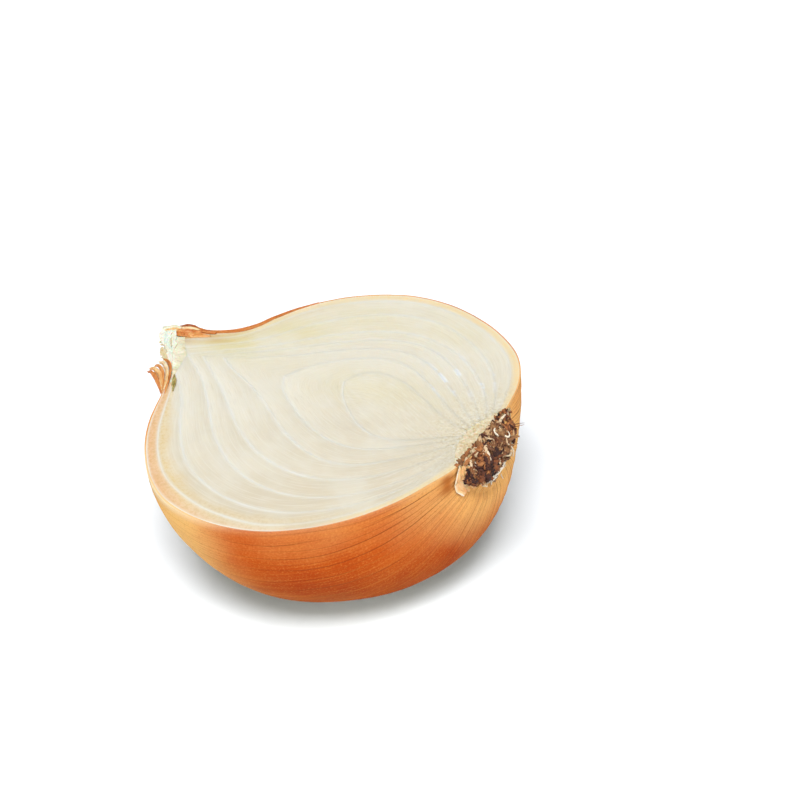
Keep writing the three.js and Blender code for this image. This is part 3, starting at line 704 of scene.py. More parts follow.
def core_piece():
    far, near = edge_pair(7, NS)
    far, near = inset(far, GAPV, 1), inset(near, GAPV, -1)
    far[0] = near[0] = (far[0] + near[0]) / 2
    m = 48
    u = cos_steps(m)
    P = far[:, None, :] * (1 - u)[None, :, None] + near[:, None, :] * u[None, :, None]
    w = np.linalg.norm(near - far, axis=1)[:, None]
    d = np.minimum(w * u, w * (1 - u))
    # two inner leaf lines inside the bud
    q = np.abs(u - 0.5) * 2
    inner = np.full_like(d, 9.0)
    for lv in (0.36, 0.68):
        inner = np.minimum(inner, np.abs(q - lv) * w / 2 + 0.05)
    x, y = P[..., 0], P[..., 1]
    at = face_attrs(x, y, d, 1)
    at["linefade"] = at["linefade"] * np.where(u < 0.5, 0.15, 0.5)
    z = relief(x, y) + 0.03 * np.where(u < 0.5, 0.4, 1.0) * np.exp(-(d / 0.22) ** 2) + 0.02 * np.exp(-(inner / 0.2) ** 2)
    s = np.linspace(0, 1, NS + 1)[:, None]
    z = z + at["rootish"] * 0.14 * fbm(np.stack([x * 1.3, y * 1.3, 0 * z + 2], -1), 3, 12, 0.6)
    G = np.concatenate([P, z[..., None]], -1)
    B = Build()
    B.grid(part(G), {"t": 0.35 + 0.3 * q, "d": np.minimum(d, inner + 0.2), "s": s, "across": w * u + 150, "warm": 0.0, "warmc": 0.5, "dry": 0.0, **at}, flip=True)
    W = bowl(far, near, 22)
    W[..., 2] += ((G[:, 0, 2] + G[:, -1, 2]) / 2)[:, None] - 0.02
    W[:, 0], W[:, -1] = G[:, 0], G[:, -1]
    B.grid(part(W), {"t": 0.0, "d": 2.0, "s": s, "across": 3.0, **FACE_OFF})
    ring = W[-1]
    c = np.broadcast_to((ring[0] + ring[-1]) / 2, ring.shape)
    # root end, closed from the top edge's points down to the ring
    B.grid(part(np.stack([ring, c])), {"t": 0.5, "d": 2.0, "s": 1.0, "across": 3.0, **FACE_OFF, "rootish": 1.0})
    b = B.points(part(np.vstack([G[-1], c[:1]])), {"s": 1.0})
    B.faces([[b + j, b + m + 1, b + j + 1] for j in range(m)])
    me = B.mesh("core_bud", weld=2e-7, sharp=50)
    return piece("core_bud", me, flesh_in, ["core_bud"])


core_piece()


# ------------------------------------------------------------------ basal plate and neck cap
def cap(B, inner, outer, top, tone, m, bulge, nt=40, depthk=None, depthk2=None):
    """A closed slab beside the scales' ends: its top joins the inner curve to the outer one, and
    half discs close it below. Both curves run from the far edge to the near one."""
    n = len(inner) - 1
    u = np.linspace(0, 1, m + 1)
    X = inner[:, :1] * (1 - u) + outer[:, :1] * u
    Y = inner[:, 1:] * (1 - u) + outer[:, 1:] * u
    G = np.stack([X, Y, top(X, Y, u[None, :])], -1)
    back = float(np.mean(outer[:, 0] - inner[:, 0])) < 0
    th = np.linspace(0, np.pi, nt + 1)
    c, s = np.cos(th), np.sin(th)
    s[0] = s[-1] = 0

    def dish(col):
        dk = depthk2 if col and depthk2 else depthk
        rings = []
        for j in range(n // 2 + 1):
            a, b = G[j, col], G[n - j, col]
            mid, h = (a + b) / 2, (a[1] - b[1]) / 2
            dp = (dk or table(DEPTH, np.array([mid[0]]))[0]) * abs(h)
            ring = np.stack([mid[0] + (a[0] - b[0]) / 2 * c + bulge * min(1, abs(h) / 9) * s ** 2, mid[1] + h * c, mid[2] * (1 - s) - dp * s], -1)
            ring[0], ring[-1] = a, b
            rings.append(ring)
        return np.array(rings)

    B.grid(part(G, False), {"tone": tone(X, Y, u[None, :]), "s": u[None, :], "t": np.linspace(0, 1, n + 1)[:, None]}, flip=back)
    d0, d1 = dish(0), dish(m)
    B.grid(part(d0, False), {"tone": 0.4, "s": 0.0, "t": 0.5}, flip=not back)
    B.grid(part(d1, False), {"tone": 0.4 + 0.25 * vnoise(d1 * 1.5, 88), "s": 1.0, "t": np.linspace(0, 1, nt + 1)[None, :]}, flip=back)
    B.grid(part(np.stack([d0[0], d1[0]]), False), {"tone": 0.4, "s": 0.5, "t": np.linspace(0, 1, nt + 1)[None, :]}, flip=back)


def plate_piece():
    n = 150
    far = np.array([e[0][-1] for e in LAYERS], float)
    near = np.array([e[1][-1] for e in LAYERS], float)
    inner = spline(np.vstack([far, near[::-1]]), n) + np.array([0.02, 0])
    y = inner[:, 1]
    face = near[0, 0] + (far[0, 0] - near[0, 0]) * (y - near[0, 1]) / (far[0, 1] - near[0, 1])
    outer = np.stack([face + 0.7 + 0.3 * np.cos(np.pi * (y - 0.4) / 22), y], -1)

    def top(X, Y, u):
        P = np.stack([X, Y, 0 * X], -1)
        return relief(X, Y) + 0.16 * fbm(P * 2.0 + 3, 4, 21, 0.65) + 0.06 * np.maximum(0, vnoise(P * 3.9, 8)) + 0.3 * smoothstep(0.6, 1.0, u)

    def tone(X, Y, u):
        P = np.stack([X, Y, 0 * X], -1)
        return np.clip(0.74 - 0.42 * u ** 2 + 0.42 * fbm(P * 2.0 + 3, 4, 21, 0.65), 0, 1)

    B = Build()
    cap(B, inner, outer, top, tone, 34, 1.9, depthk=0.88)
    me = B.mesh("basal_plate", weld=2e-7, sharp=60)
    mat = tone_material("plate_tissue", [(0.0, (122, 82, 46)), (0.25, (178, 144, 96)), (0.5, (214, 190, 146)), (0.75, (234, 218, 182)), (1.0, (248, 240, 218))], 2.2, (0.55, 0.85), 0.0002, 0.2)
    return piece("basal_plate", me, mat, ["basal_plate"])


plate_piece()


# ------------------------------------------------------------------ dry skin
def skin_piece():
    ns, nt, nc = 250, 150, 14
    far, near = edge_pair(0, ns)
    fi, ni = edge_pair(SKIN_LEVEL, ns)
    G, I = bowl(far, near, nt), bowl(fi, ni, nt)
    # the skin draws in under the roots
    r = np.linspace(0, 1, nc + 1)[1:, None, None]
    shrink = np.array([0, 0.40, 0.40])
    G = np.vstack([G, G[-1:] * (1 - r * shrink) + np.array([1.3, 0, 0]) * np.sin(r * np.pi / 2)])
    N = grid_normals(G)
    if (N[ns // 2, nt // 2] * np.array([0, 0, -1.0])).sum() < 0:
        N = -N
    N[:ns + 1, 0, 2] = N[:ns + 1, -1, 2] = 0
    N /= np.linalg.norm(N, axis=-1, keepdims=True)
    s = np.r_[np.linspace(0, 1, ns + 1), 1 + 0.06 * np.linspace(0, 1, nc + 1)[1:]][:, None]
    th = np.linspace(0, 1, nt + 1)[None, :]
    rootw = smoothstep(0.80, 0.985, s)
    neckw = 1 - smoothstep(0.02, 0.16, s)
    f = th + 0.012 * fbm(np.stack([s * 4 + 0 * th, th * 5 + 0 * s, 0 * s * th], -1), 2, 44)
    # shallow folds that gather at both ends, plus a broad unevenness
    folds = 0.08 * np.sin(2 * np.pi * f * 23 + 2 * np.sin(5 * f * 2 * np.pi)) * (rootw + 0.8 * neckw)
    d = folds + 0.22 * fbm(G * 0.05, 3, 77) + 0.03 * fbm(G * 0.45, 3, 78) + 0.035 * np.sin(2 * np.pi * f * 46) * rootw
    edge = np.minimum(th, 1 - th)
    d = d * smoothstep(0.0, 0.03, edge + 0.003)
    zpart = (G @ AX.T + PLACE)[..., 2]
    d = np.maximum(d * (1 - 0.85 * smoothstep(12, 2, zpart)), -0.12)
    O = G + N * d[..., None]
    I = np.vstack([I, O[ns + 1:] - N[ns + 1:] * 0.3])
    # the cut edge stands a hair above the flesh
    lip = 0.05 + 0.05 * fbm(np.stack([np.linspace(0, 30, len(O)), np.zeros(len(O)), np.zeros(len(O))], -1), 3, 90)
    for j in (0, -1):
        O[:, j, 2] = relief(O[:, j, 0], O[:, j, 1]) + lip
        I[:, j, 2] = relief(I[:, j, 0], I[:, j, 1]) + 0.04
    x, y, z = O[..., 0], O[..., 1], O[..., 2]
    zpart = (O @ AX.T + PLACE)[..., 2]
    n1, n2 = fbm(G * 0.06, 3, 51), fbm(G * 0.07, 3, 52)
    nearedge = np.exp(-np.maximum(-z, 0) / 6.0)
    # partly the skin's golden tone near both ends and the cut edge, partly painted light: stronger higher up, where
    # light falls
    gold_and_light = 0.65 * smoothstep(26, 40, x) * (0.1 + 0.9 * smoothstep(17, 31, zpart)) + 0.95 * smoothstep(8, -13, x) * (0.6 + 0.4 * smoothstep(4, 24, zpart)) + 0.22 * nearedge * smoothstep(2, 24, x) + 0.22 * n1
    # partly the bulb's own deeper orange across its middle, partly painted shade: the first term grows towards the
    # table
    deep_and_shade = 0.6 * smoothstep(36, 12, zpart) * smoothstep(42, 24, x) * smoothstep(-28, -4, x) + 0.9 * smoothstep(-12, 5, x) * smoothstep(46, 30, x) + 0.1 * n2 - 0.12 * nearedge * smoothstep(-4, -20, x)
    # painted shade: this mask darkens the skin by height above the table, strongest near the bottom
    low = 0.95 * smoothstep(30, 7, zpart) * (0.85 + 0.15 * smoothstep(34, 10, x)) * (0.1 + 0.9 * smoothstep(-20, 2, x))
    side = th > 0.5
    rim = np.exp(-(np.maximum(-z, 0) / (0.75 + 0.7 * smoothstep(0, -24, x))) ** 2) * (0.08 + 0.85 * smoothstep(10, -18, x))
    rimc = np.where(side, 0.35 + 0.5 * smoothstep(-30, -20, x) + 0.1 * smoothstep(0, 20, x), 0.02 + 0.75 * smoothstep(-20, 8, x) + 0.2 * smoothstep(20, 34, x))
    # painted shade: a dark band down the crease beside the torn flap, from the cut edge to about 6 mm below it
    crease_shade = 0.85 * np.exp(-(((x - 35.3) / 0.75) ** 2)) * smoothstep(-0.2, 0.8, -z) * (1 - smoothstep(3.5, 6.5, -z)) * side
    at = {"s": s, "th": th, "gold_and_light": np.clip(gold_and_light, 0, 1), "deep_and_shade": np.clip(deep_and_shade, 0, 1), "rim": np.clip(rim, 0, 1), "rimc": np.clip(rimc, 0, 1), "crease_shade": np.clip(crease_shade, 0, 1), "low": np.clip(low, 0, 1)}
    B = Build()
    B.grid(part(O), at)
    B.grid(part(I), {**at, "rim": 0.3}, flip=True)
    for j, flip in ((0, True), (-1, False)):
        R = np.stack([O[:, j], I[:, j]], 1)
        B.grid(part(R), {"s": s, "th": 0.0 if j == 0 else 1.0, "gold_and_light": 0.8, "deep_and_shade": 0.0, "rim": 0.9, "rimc": np.clip(rimc[:, j], 0, 1)[:, None], "crease_shade": 0.0}, flip=flip)
    for e, flip in ((0, True), (-1, False)):
        R = np.stack([O[e], I[e]])
        B.grid(part(R), {"s": float(e != 0), "th": th, "gold_and_light": 0.4, "deep_and_shade": 0.6, "rim": 0.0, "rimc": 0.3, "crease_shade": 0.0}, flip=flip)
    me = B.mesh("dry_skin", weld=2e-7, sharp=60)
    ob = piece("dry_skin", me, skin_material(), ["dry_skin"])
    ob.visible_diffuse = False      # keeps an orange cast off the table
    return ob


skin_piece()


# ------------------------------------------------------------------ roots
def tube(B, path, radii, tone, sides=7, wob=0.15, seed=0):
    """A closed tapering tube through the points of path (mm)."""
    P = np.asarray(path, float)
    n = len(P)
    T = np.gradient(P, axis=0)
    T /= np.linalg.norm(T, axis=1)[:, None] + 1e-9
    up = np.array([0.3, 0.5, 0.8])
    U = np.cross(T, up)
    U /= np.linalg.norm(U, axis=1)[:, None] + 1e-9
    W = np.cross(T, U)
    a = np.linspace(0, 2 * np.pi, sides, endpoint=False)
    r = np.asarray(radii)[:, None] * (1 + wob * vnoise(np.stack(np.broadcast_arrays(np.arange(n)[:, None] * 0.7, np.cos(a)[None] * 1.5, np.sin(a)[None] * 1.5 + seed), -1), 5))
    R = P[:, None] + r[..., None] * (np.cos(a)[None, :, None] * U[:, None] + 0.75 * np.sin(a)[None, :, None] * W[:, None])
    tone = np.broadcast_to(np.asarray(tone, float).reshape(-1, 1) if np.ndim(tone) else tone, (n, sides))
    sc = {"tone": tone, "s": np.linspace(0, 1, n)[:, None], "t": (np.arange(sides) / sides)[None, :]}
    b = B.grid(part(R, False), sc, wrap=True)
    for e, row in ((0, 0), (n - 1, n - 1)):
        c = B.points(part(P[row][None], False), {"tone": float(tone[row, 0])})
        idx = b + row * sides + np.arange(sides)
        nxt = np.roll(idx, -1)
        F = np.stack([np.full(sides, c), idx, nxt], -1)
        B.faces(F if e == 0 else F[:, ::-1])


def blob(B, c, size, tone, seed, squash=(1, 1, 1)):
    """A small irregular closed lump."""
    nu, nv = 9, 12
    th = np.linspace(0, np.pi, nu + 1)[1:-1]
    ph = np.linspace(0, 2 * np.pi, nv, endpoint=False)
    D = np.stack([np.sin(th)[:, None] * np.cos(ph), np.sin(th)[:, None] * np.sin(ph), np.cos(th)[:, None] + 0 * ph], -1)
    ends = np.array([[0, 0, 1.0], [0, 0, -1.0]])

    def shape(Q):
        r = 1 + 0.75 * vnoise(Q * 1.9 + seed * 3.1, 7) + 0.45 * vnoise(Q * 4.5 + seed, 8)
        return c + Q * r[..., None] * size * np.asarray(squash)
    b = B.grid(part(shape(D), False), {"tone": tone, "s": 0.5, "t": 0.5}, wrap=True)
    e = B.points(part(shape(ends), False), {"tone": tone, "s": 0.5, "t": 0.5})
    k = np.arange(nv)
    n1 = np.roll(k, -1)
    B.faces(np.stack([np.full(nv, e), b + k, b + n1], -1))
    last = b + (len(th) - 1) * nv
    B.faces(np.stack([np.full(nv, e + 1), last + n1, last + k], -1))


def low_r(c):
    """Lower radius of the root mat; it is cut short under its near end."""
    return 4.1 * (1 - 0.8 * smoothstep(0.15, 0.85, -np.asarray(c, float)))


def mound(y, z):
    """How far the matted roots stand out along x at a place of the root end."""
    r = np.minimum(np.hypot((y + 0.2) / 9.9, (z + 3.2) / np.where(z > -3.2, 3.9, 4.2)), 1)
    return 37.2 + 2.6 * np.cos(r * np.pi / 2) ** 0.7 + 0.2 * np.maximum(0, -z)


def patch(y, z, rng):
    """Tone of the root mat by place: reddish brown at both ends, grey and cream in the middle, pale below."""
    if y > 5.2 and z > -4.4:
        return rng.choice([0.05, 0.12, 0.18, 0.25], p=[0.25, 0.35, 0.25, 0.15])
    if z < -5.9:
        return rng.choice([0.16, 0.4, 0.5, 0.66, 0.84], p=[0.2, 0.3, 0.2, 0.15, 0.15])
    if y > 0.5:
        return rng.choice([0.08, 0.40, 0.47, 0.58, 0.72], p=[0.12, 0.32, 0.30, 0.16, 0.10])
    if y > -2.5:
        return rng.choice([0.03, 0.14, 0.41, 0.48, 0.70], p=[0.18, 0.16, 0.32, 0.22, 0.12])
    if z > -1.2:
        return rng.choice([0.16, 0.27, 0.30, 0.48, 0.78], p=[0.2, 0.26, 0.24, 0.16, 0.14])
    return rng.choice([0.02, 0.07, 0.13, 0.2, 0.42, 0.5], p=[0.26, 0.26, 0.20, 0.12, 0.10, 0.06])


def root_pieces():
    rng = np.random.default_rng(77)
    B = Build()
    nu, nv = 70, 120
    u = np.linspace(0, 1, nu + 1)[:, None]
    v = np.linspace(0, 2 * np.pi, nv, endpoint=False)[None, :]
    Y = -0.2 + u * 10.0 * np.cos(v)
    Z = -3.2 + u * np.where(np.sin(v) > 0, 3.9, low_r(np.cos(v)) + 0.1) * np.sin(v)
    X = mound(Y, Z)
    G = np.stack(np.broadcast_arrays(X, Y, Z), -1)
    lump = 0.8 * fbm(G * 0.5, 3, 101, 0.6) + 0.5 * np.abs(vnoise(G * 1.2, 102)) + 0.3 * vnoise(G * 2.6, 103)
    D = np.stack(np.broadcast_arrays(1.0 + 0 * X, 0.5 * np.cos(v) * u, 0.5 * np.sin(v) * u), -1)
    G = G + D * (lump * (1 - 0.45 * u))[..., None]
    b = B.grid(part(G, False), {"tone": np.clip(0.10 + 0.16 * lump, 0, 0.4), "s": 0.5, "t": 0.5}, wrap=True)
    back = B.points(part(np.array([[36.9, -0.2, -3.2]]), False), {"tone": 0.1})
    last = b + nu * nv + np.arange(nv)
    B.faces(np.stack([np.full(nv, back), np.roll(last, -1), last], -1))
    # crumbs of dead tissue and soil
    for i in range(430):
        a, q = rng.uniform(0, 2 * np.pi), rng.uniform(0.0, 1.0) ** 0.5 * 1.02
        y = -0.2 + q * 9.9 * np.cos(a)
        z = -3.2 + q * (3.9 if np.sin(a) > 0 else float(low_r(np.cos(a)))) * np.sin(a)
        x = float(mound(np.array(y), np.array(z))) + rng.uniform(-0.1, 0.7)
        size = rng.uniform(0.22, 0.62) * (1.3 if y < -2 or y > 5.5 else 1.0)
        blob(B, np.array([x, y, z]), size, max(patch(y, z, rng) + rng.uniform(-0.06, 0.08), 0.0), rng.uniform(0, 50), rng.uniform(0.35, 1.6, 3))
    for i in range(190):
        a, q = rng.uniform(0, 2 * np.pi), rng.uniform(0.0, 1.0) ** 0.5
        y = -0.2 + q * 9.4 * np.cos(a)
        z = -3.2 + q * (3.7 if np.sin(a) > 0 else float(low_r(np.cos(a))) * 0.95) * np.sin(a)
        x = float(mound(np.array(y), np.array(z))) + rng.uniform(0.2, 0.7)
        c = np.array([x, y, z])
        d = np.array([rng.normal() * 0.35, rng.normal(), rng.normal()])
        d /= np.linalg.norm(d)
        L = rng.uniform(0.8, 2.0)
        bend = rng.normal(size=3) * 0.3 + np.array([0.35, 0, 0])
        wd = rng.uniform(0.35, 1.0)
        ribbon(B, [c - d * L / 2, c + bend * 0.6, c + d * L / 2], [wd * 0.5, wd, wd * 0.4], rng.normal(size=3), 0.12, rng.uniform(0.6, 2.4), float(np.clip(patch(y, z, rng) + rng.uniform(-0.03, 0.2), 0, 1)), 0.25, n=10, m=4, seed=rng.uniform(0, 60), tear=0.5)
    # a few on the cut side, where the knife passed
    for i in range(150):
        y = rng.uniform(-10.0, 9.8)
        x = 36.9 + 0.06 * y + rng.uniform(-0.4, 1.3)
        blob(B, np.array([x, y, rng.uniform(0.0, 0.4)]), rng.uniform(0.16, 0.42), max(patch(y, -0.6, rng) + rng.uniform(-0.05, 0.1), 0.0), rng.uniform(0, 50), rng.uniform(0.5, 1.5, 3))
    stops = [(0.0, (36, 18, 16)), (0.10, (80, 38, 24)), (0.20, (140, 78, 38)), (0.30, (198, 130, 74)), (0.40, (112, 68, 44)), (0.54, (152, 104, 62)), (0.70, (210, 170, 122)), (0.86, (238, 212, 174)), (1.0, (255, 246, 226))]
    mat = tone_material("root_crumbs", stops, 1.8, (0.75, 0.98), 0.0003, vary=0.28)
    piece("root_tuft", B.mesh("root_tuft", weld=0), mat, ["root_tuft"])

    # rootlets, matted down over the mound
    B = Build()

    def rootlet(p, d, length, r0, tone, curl, n=14, hug=0.55, lift=0.35):
        P = [p.copy()]
        d = d / np.linalg.norm(d)
        axis = np.array([1.0, 0, 0]) * rng.choice([-1, 1]) + rng.normal(size=3) * 0.35
        axis /= np.linalg.norm(axis)
        step = length / n
        for i in range(n):
            ang = curl * step * rng.uniform(0.4, 1.6)
            d = d * np.cos(ang) + np.cross(axis, d) * np.sin(ang) + axis * (axis @ d) * (1 - np.cos(ang))
            d = d + rng.normal(size=3) * 0.09
            d /= np.linalg.norm(d)
            q = P[-1] + d * step
            if hug:
                q[0] += hug * (float(mound(q[1], q[2])) + lift - q[0]) * 0.5
            P.append(q)
        P = np.array(P)
        P[:, 2] = np.minimum(P[:, 2], 1.2)
        k = np.linspace(0, 1, n + 1)
        tube(B, P, r0 * (1.05 - 0.7 * k ** 1.6), np.clip(tone + 0.08 * k, 0, 1), seed=rng.uniform(0, 99))

    for i in range(200):
        a, q = rng.uniform(0, 2 * np.pi), rng.uniform(0.0, 1.0) ** 0.5
        y = -0.2 + q * 9.4 * np.cos(a)
        z = -3.2 + q * (3.6 if np.sin(a) > 0 else float(low_r(np.cos(a))) * 0.95) * np.sin(a)
        x = float(mound(np.array(y), np.array(z))) + rng.uniform(0.2, 0.8)
        d = np.array([rng.normal() * 0.3, rng.normal(), rng.normal() - 0.3])
        rootlet(np.array([x, y, z]), d, rng.uniform(1.2, 3.6), rng.uniform(0.12, 0.28), float(np.clip(patch(y, z, rng) + rng.uniform(0.0, 0.2), 0, 1)), rng.uniform(0.2, 1.1), lift=rng.uniform(0.3, 0.9))
    # curls and strands that stand out
    for p, d, L, r, tone, curl, hug in [
        ((39.0, 2.4, -1.9), (0.82, 0.52, -0.10), 4.7, 0.62, 0.47, 0.04, 0.0),
        ((39.8, 2.2, -2.9), (0.75, 0.50, -0.20), 3.4, 0.30, 0.52, 0.08, 0.0),
        ((39.4, 7.8, -2.6), (0.80, 0.50, 0.45), 2.8, 0.13, 0.14, 0.15, 0.0),
        ((39.6, 8.2, -2.0), (0.85, 0.30, 0.10), 2.6, 0.11, 0.10, 0.20, 0.0),
        ((38.0, 4.6, -0.2), (0.2, -0.9, 0.1), 4.0, 0.34, 0.90, 0.85, 0.5),
        ((37.8, 5.6, 0.0), (0.2, -0.6, 0.3), 3.0, 0.32, 0.86, 1.1, 0.4),
        ((38.4, 2.4, -0.4), (0.2, -1.0, 0.0), 3.4, 0.32, 0.92, 0.9, 0.5),
        ((39.6, 6.2, -2.6), (0.1, -0.6, -0.6), 4.2, 0.34, 0.62, 0.8, 0.5),
        ((39.8, 4.4, -3.4), (0.2, -0.3, -1.0), 3.6, 0.28, 0.66, 0.6, 0.5),
        ((38.8, 2.6, -1.4), (0.5, 0.4, -0.9), 5.4, 0.24, 0.88, 0.12, 0.5),
        ((40.6, 0.2, -3.2), (0.2, 0.5, -1.0), 4.0, 0.22, 0.84, 0.3, 0.5),
        ((38.2, -2.4, -0.4), (0.1, -1.0, 0.1), 3.8, 0.34, 0.90, 0.6, 0.5),
        ((38.0, -5.4, 0.0), (0.1, -0.9, 0.2), 3.6, 0.32, 0.74, 0.9, 0.5),
        ((37.8, -7.6, 0.2), (0.1, -0.8, -0.5), 3.0, 0.34, 0.84, 0.8, 0.5),
        ((40.8, 1.6, -5.0), (0.0, -1.0, -0.14), 7.4, 0.28, 0.97, 0.05, 0.6),
        ((40.8, 0.4, -5.8), (0.0, -1.0, -0.04), 5.8, 0.32, 0.99, 0.10, 0.6),
        ((40.6, -1.4, -6.3), (0.0, -0.9, 0.1), 4.2, 0.32, 0.96, 0.3, 0.6),
        ((40.4, -3.0, -6.2), (0.0, -0.5, -0.6), 2.6, 0.36, 0.98, 0.5, 0.6),
        ((40.4, -2.2, -5.8), (0.0, -0.8, -0.7), 3.0, 0.26, 0.94, 0.2, 0.6),
        ((41.0, 1.2, -6.6), (0.1, -0.6, -0.5), 3.6, 0.24, 0.88, 0.4, 0.6),
        ((41.0, 3.2, -6.4), (0.1, 0.4, -0.7), 3.0, 0.22, 0.6, 0.5, 0.6),
        ((38.6, -7.4, -3.0), (0.0, -0.5, -0.7), 2.4, 0.24, 0.6, 0.4, 0.6),
    ]:
        rootlet(np.array(p, float), np.array(d, float), L, r, tone, curl, 18, hug, 1.25)
    mat2 = tone_material("rootlets", stops, 2.2, (0.7, 0.95), 0.0002, vary=0.28)
    piece("rootlets", B.mesh("rootlets", weld=0), mat2, ())

    # a torn flap of pale skin beside the roots
    B = Build()
    ribbon(B, [(36.9, -9.2, 0.3), (37.3, -9.5, -1.4), (37.5, -9.6, -3.0), (37.7, -9.4, -4.6), (38.1, -8.9, -6.2)], [1.4, 3.2, 4.6, 5.0, 4.0], (0.62, 0.72, -0.15), 0.2, 0.5, 0.44, 0.05, n=50, m=26, seed=41.0, tear=1.6, rimtone=0.6)
    ribbon(B, [(38.6, -7.4, -4.4), (39.3, -6.4, -5.6), (39.7, -5.2, -6.8)], [1.0, 2.4, 1.6], (0.5, 0.5, -0.7), 0.2, 0.8, 0.62, 0.10, n=36, m=16, seed=43.0, tear=1.2, rimtone=0.3)
    flap = [(0.0, (206, 128, 66)), (0.4, (242, 180, 112)), (0.7, (252, 214, 164)), (1.0, (255, 242, 218))]
    piece("skin_flap", B.mesh("skin_flap", weld=2e-7, sharp=60), tone_material("skin_flap", flap, 0.8, (0.5, 0.75), 0.0002, 0.2, strands=8.0), ())




# ------------------------------------------------------------------ dry neck
def ribbon(B, path, widths, side, thick=0.22, curl=0.0, tone=0.5, ruffle=0.15, n=46, m=14, seed=0, tear=0.0, twist=0.0, rimtone=0.0):
    """A thin closed papery strip. side is the rough direction across it, curl bends it into a trough."""
    P = spline(path, n)
    T = np.gradient(P, axis=0)
    T /= np.linalg.norm(T, axis=1)[:, None]
    side = np.asarray(side, float)
    A = side - (T @ side)[:, None] * T
    A /= np.linalg.norm(A, axis=1)[:, None]
    Nn = np.cross(T, A)
    k = np.linspace(0, 1, n + 1)
    ang = twist * k
    A, Nn = A * np.cos(ang)[:, None] + Nn * np.sin(ang)[:, None], Nn * np.cos(ang)[:, None] - A * np.sin(ang)[:, None]
    w = np.interp(k, np.linspace(0, 1, len(widths)), widths)[:, None]
    u = np.linspace(-0.5, 0.5, m + 1)[None, :]
    frag = 1 + 0.2 * vnoise(np.stack(np.broadcast_arrays(k[:, None] * 6, np.sign(u) * 2.0, seed + 0 * u), -1), 3)
    # the end frays into points
    endcut = tear * np.maximum(0, vnoise(np.stack(np.broadcast_arrays(u * 9, 0 * k[:, None], seed + 3.0 + 0 * u), -1), 4)) * smoothstep(0.5, 1.0, k)[:, None]
    if abs(curl) > 1e-6:
        x, y = w * frag * np.sin(u * curl) / curl, w * frag * (1 - np.cos(u * curl)) / curl
    else:
        x, y = w * frag * u, 0 * u * w
    q = np.stack(np.broadcast_arrays(k[:, None] * 7, u * 4, seed + 0 * u), -1)
    y = y + ruffle * fbm(q, 3, 6) * w + 0.025 * np.sin(2 * np.pi * u * 5 + seed) * w
    C = P[:, None] + x[..., None] * A[:, None] + y[..., None] * Nn[:, None] - endcut[..., None] * T[:, None]
    nrm = grid_normals(C)
    h = thick / 2 * (1 - 0.5 * np.abs(2 * u) ** 4)[..., None]
    top, bot = C + nrm * h, C - nrm * h
    at = {"tone": np.clip(tone + rimtone * np.abs(2 * u) ** 7, 0, 1) if rimtone else tone, "s": k[:, None], "t": u + 0.5}
    B.grid(part(top, False), at)
    B.grid(part(bot, False), at, flip=True)
    for j, flip in ((0, True), (-1, False)):
        B.grid(part(np.stack([top[:, j], bot[:, j]], 1), False), {"tone": tone, "s": k[:, None], "t": float(j != 0)}, flip=flip)
    for e, flip in ((0, True), (-1, False)):
        B.grid(part(np.stack([top[e], bot[e]]), False), {"tone": tone, "s": float(e != 0), "t": u + 0.5}, flip=flip)


